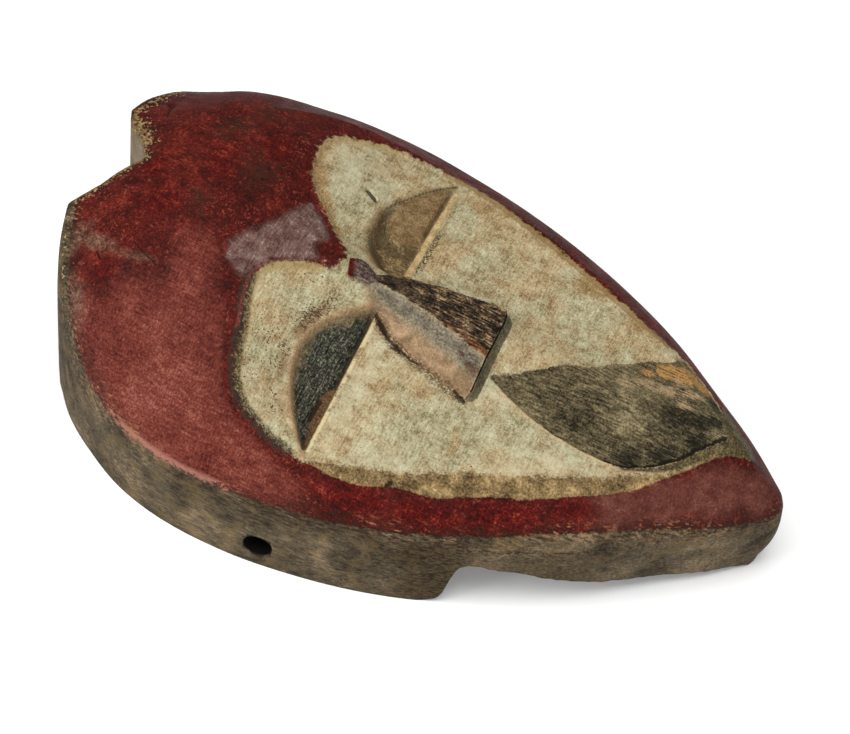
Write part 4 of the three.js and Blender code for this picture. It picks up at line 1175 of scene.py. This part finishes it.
class Finish:
    """Short words for joining the nodes of one material. Lengths are in millimetres."""

    def __init__(self, name):
        self.material = bpy.data.materials.new(name)
        self.material.use_nodes = True
        self.tree = self.material.node_tree
        self.shader = self.tree.nodes["Principled BSDF"]
        place = self.add("ShaderNodeTexCoord").outputs["Object"]
        scaled = self.add("ShaderNodeMapping", {"Vector": place, "Scale": (1 / MM, 1 / MM, 1 / MM)})
        self.place = scaled.outputs["Vector"]

    def join(self, value, socket):
        if isinstance(value, bpy.types.NodeSocket):
            self.tree.links.new(value, socket)
        else:
            socket.default_value = value

    def add(self, kind, inputs=(), **settings):
        """Adds a node with its settings, its inputs joined to nodes or set to values."""
        node = self.tree.nodes.new(kind)
        for key, value in settings.items():
            setattr(node, key, value)
        for key, value in dict(inputs).items():
            self.join(value, node.inputs[key])
        return node

    def zone(self, name):
        return self.add("ShaderNodeAttribute", attribute_name=name).outputs["Fac"]

    def calc(self, operation, *values):
        return self.add("ShaderNodeMath", enumerate(values), operation=operation).outputs[0]

    def times(self, *values):
        result = values[0]
        for value in values[1:]:
            result = self.calc("MULTIPLY", result, value)
        return result

    def between(self, value, low, high):
        """0 at low and 1 at high, eased in between. Low may be the larger of the two."""
        limits = {"Value": value, "From Min": low, "From Max": high}
        return self.add("ShaderNodeMapRange", limits, interpolation_type="SMOOTHSTEP").outputs["Result"]

    def cloud(self, size, detail, rough, stretch=(1, 1, 1), turn=0, shift=0, warp=0):
        """Noise from 0 to 1 with lumps about size across, drawn out by stretch."""
        drawn = self.add("ShaderNodeMapping", {
            "Vector": self.place,
            "Location": (shift, shift * 0.7, shift * 0.3),
            "Rotation": (0, 0, math.radians(turn)),
            "Scale": [1 / (size * s) for s in stretch],
        })
        noise_inputs = {"Scale": 1, "Detail": detail, "Roughness": rough, "Distortion": warp}
        node = self.add("ShaderNodeTexNoise", {"Vector": drawn.outputs["Vector"], **noise_inputs})
        return node.outputs["Fac"]

    def blend(self, share, under, over):
        """A value that passes from under to over as share grows."""
        return self.add("ShaderNodeMix", {0: share, 2: under, 3: over}, data_type="FLOAT").outputs[0]

    def mix(self, share, under, over):
        """The same with colours."""
        return self.add("ShaderNodeMix", {0: share, 6: under, 7: over}, data_type="RGBA").outputs[2]

    def ramp(self, value, stops):
        """Tones along a value, each stop (value, red, green, blue)."""
        node = self.add("ShaderNodeValToRGB", {"Fac": value})
        points = node.color_ramp.elements
        while len(points) < len(stops):
            points.new(0.5)
        for point, (at, *colour) in zip(points, stops):
            point.position = at
            point.color = tone(*colour)
        return node.outputs["Color"]


class Paint(Finish):
    """The painted wood, with values over the surface that its finishes share."""

    def __init__(self, name):
        super().__init__(name)
        self.values = {key: self.cloud(**settings) for key, settings in NOISES.items()}
        self.values["ragged"] = self.calc("SUBTRACT", self.values["ragged"], 0.5)
        self.values["cooler"] = self.weigh(blotchy=0.6, broad=1)
        self.share_edges()
        self.share_wear()

    def share_edges(self):
        """Where the red is, where its edge is rubbed, where the white is, and the dark band along the near
        lobe's border.
        """
        to_edge = self.calc("ABSOLUTE", self.zone("paint"))
        # No dark gaps at the edge under the painted sheen
        outside_sheen = self.calc("SUBTRACT", 1, self.zone("near_sheen"))
        self.values["at_edge"] = self.between(to_edge, 2.4, 0.3)
        self.values["gaps"] = self.times(self.mask(("streaks", 0.5, 0.42)), outside_sheen)
        self.values["painted"] = self.mask(("paint", 1.8, -0.15, 0.15))
        self.values["whitened"] = self.mask(("heart", 1.4, -0.12, 0.12))
        lobe_border_band = self.mask(("lobe_border_band", 1.6, 0.35, 0.8))
        self.values["lobe_border_dark"] = self.times(lobe_border_band, self.mask(("fine", 0.38, 0.56)))

    def share_wear(self):
        """The polished forehead, the crumbled wood at the notch, and the pores of the white."""
        not_white = self.calc("SUBTRACT", 1, self.values["whitened"])
        self.values["polished"] = self.times(self.mask(("burnish", 2.6, -1, 1)), not_white)
        crumbs = self.times(self.calc("SUBTRACT", self.values["grit"], 0.5), CRUMB_RAGGEDNESS)
        crumbs = self.between(self.calc("ADD", self.zone("crumble"), crumbs), 0.5, 0.6)
        self.values["crumbled"] = self.times(crumbs, self.mask(("crumble", 0.1, 0.25)))
        dirt = self.times(self.zone("speckled"), SPECKLED_MORE)
        dirt = self.calc("ADD", self.weigh(pits=1.1, grit=0.5, patchy=0.5), dirt)
        self.values["pores"] = self.between(dirt, 0.76, 0.82)

    def weigh(self, **shares):
        """Noises laid over one another round 0.5, each with its own strength."""
        total = 0.5 - 0.5 * sum(shares.values())
        for key, share in shares.items():
            total = self.calc("MULTIPLY_ADD", self.values[key], share, total)
        return total

    def mask(self, given):
        """A mask, given as in the table of coats."""
        if isinstance(given, str):
            return self.values[given] if given in self.values else self.zone(given)
        name, *raggedness, low, high = given
        value = self.mask(name)
        if raggedness:
            value = self.calc("ADD", value, self.times(self.values["ragged"], *raggedness))
        return self.between(value, low, high)

    def coat(self, ground, coats):
        for over, strength, *masks in coats:
            over = self.finish(over) if isinstance(over, str) else tone(*over)
            share = self.times(*[self.mask(given) for given in masks], strength)
            ground = self.mix(share, ground, over)
        return ground

    def finish(self, name):
        """A finish from the table of tones, with its own coats."""
        shares, stops = TONES[name]
        return self.coat(self.ramp(self.weigh(**shares), stops), COATS.get(name, ()))

    def colour(self):
        colour = self.finish("olive wood")
        for coats in LAYERS.values():
            colour = self.coat(colour, coats)
        return colour

    def roughness(self):
        """The red is polished by handling, the white and the soot are dry."""
        rubbed = self.blend(self.mask(("blotchy", 0.35, 0.65)), *RED_ROUGHNESS)
        rough = self.blend(self.values["painted"], WOOD_ROUGHNESS, rubbed)
        rough = self.blend(self.values["whitened"], rough, WHITE_ROUGHNESS)
        rough = self.blend(self.values["polished"], rough, BURNISH_ROUGHNESS)
        uneven = self.calc("SUBTRACT", self.values["fine"], 0.5)
        return self.calc("MULTIPLY_ADD", uneven, ROUGHNESS_SPREAD, rough)

    def relief(self):
        """Height of what is too fine for the mesh, in millimetres."""
        value = self.values
        height = self.weigh(**RELIEF)
        height = self.calc("SUBTRACT", height, self.times(value["pores"], value["whitened"], PORE_DEPTH))
        height = self.calc("ADD", height, self.times(value["crumbled"], value["grit"], CRUMB_HEIGHT))
        return self.calc("ADD", height, self.times(value["polished"], value["blotchy"], BURNISH_SWELL))


def painted_wood():
    paint = Paint("painted_wood")
    bump = paint.add("ShaderNodeBump", {"Strength": 1, "Distance": MM, "Height": paint.relief()})
    paint.join(paint.colour(), paint.shader.inputs["Base Color"])
    paint.join(paint.roughness(), paint.shader.inputs["Roughness"])
    paint.join(bump.outputs["Normal"], paint.shader.inputs["Normal"])
    paint.shader.inputs["Specular IOR Level"].default_value = PAINT_SHINE
    return paint.material


# Floor, lights and the whole scene
def lay_floor():
    bm = bmesh.new()
    bmesh.ops.create_grid(bm, x_segments=1, y_segments=1, size=FLOOR_HALF_SIZE)
    floor = show_mesh(bm, "floor")
    finish = Finish("pale_floor")
    finish.shader.inputs["Base Color"].default_value = FLOOR_COLOUR
    finish.shader.inputs["Roughness"].default_value = FLOOR_ROUGHNESS
    finish.shader.inputs["Specular IOR Level"].default_value = FLOOR_SHINE
    floor.data.materials.append(finish.material)


def soft_light(name, place, size, power):
    data = bpy.data.lights.new(name, "AREA")
    data.shape = "RECTANGLE"
    data.size = data.size_y = size
    data.energy = power
    light = bpy.data.objects.new(name, data)
    bpy.context.scene.collection.objects.link(light)
    light.location = Vector(place)
    light.rotation_euler = (-Vector(place)).to_track_quat("-Z", "Y").to_euler()


def set_lights():
    for light in LIGHTS:
        soft_light(*light)
    world = bpy.data.worlds.new("studio")
    world.use_nodes = True
    sky = world.node_tree.nodes["Background"]
    sky.inputs["Color"].default_value = (1, 1, 1, 1)
    sky.inputs["Strength"].default_value = SKY_STRENGTH
    bpy.context.scene.world = world


set_camera()
mask = carve_mask()
lay_out_paint(mask.data)
mask.data.transform(Matrix.Scale(MM, 4) @ Matrix.Translation((-CENTRE_SHIFT[0], -CENTRE_SHIFT[1], 0)))
mask.data.materials.append(painted_wood())
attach(mask, "root")
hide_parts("mask")
lay_floor()
set_lights()
bpy.context.scene.view_settings.view_transform = "Standard"
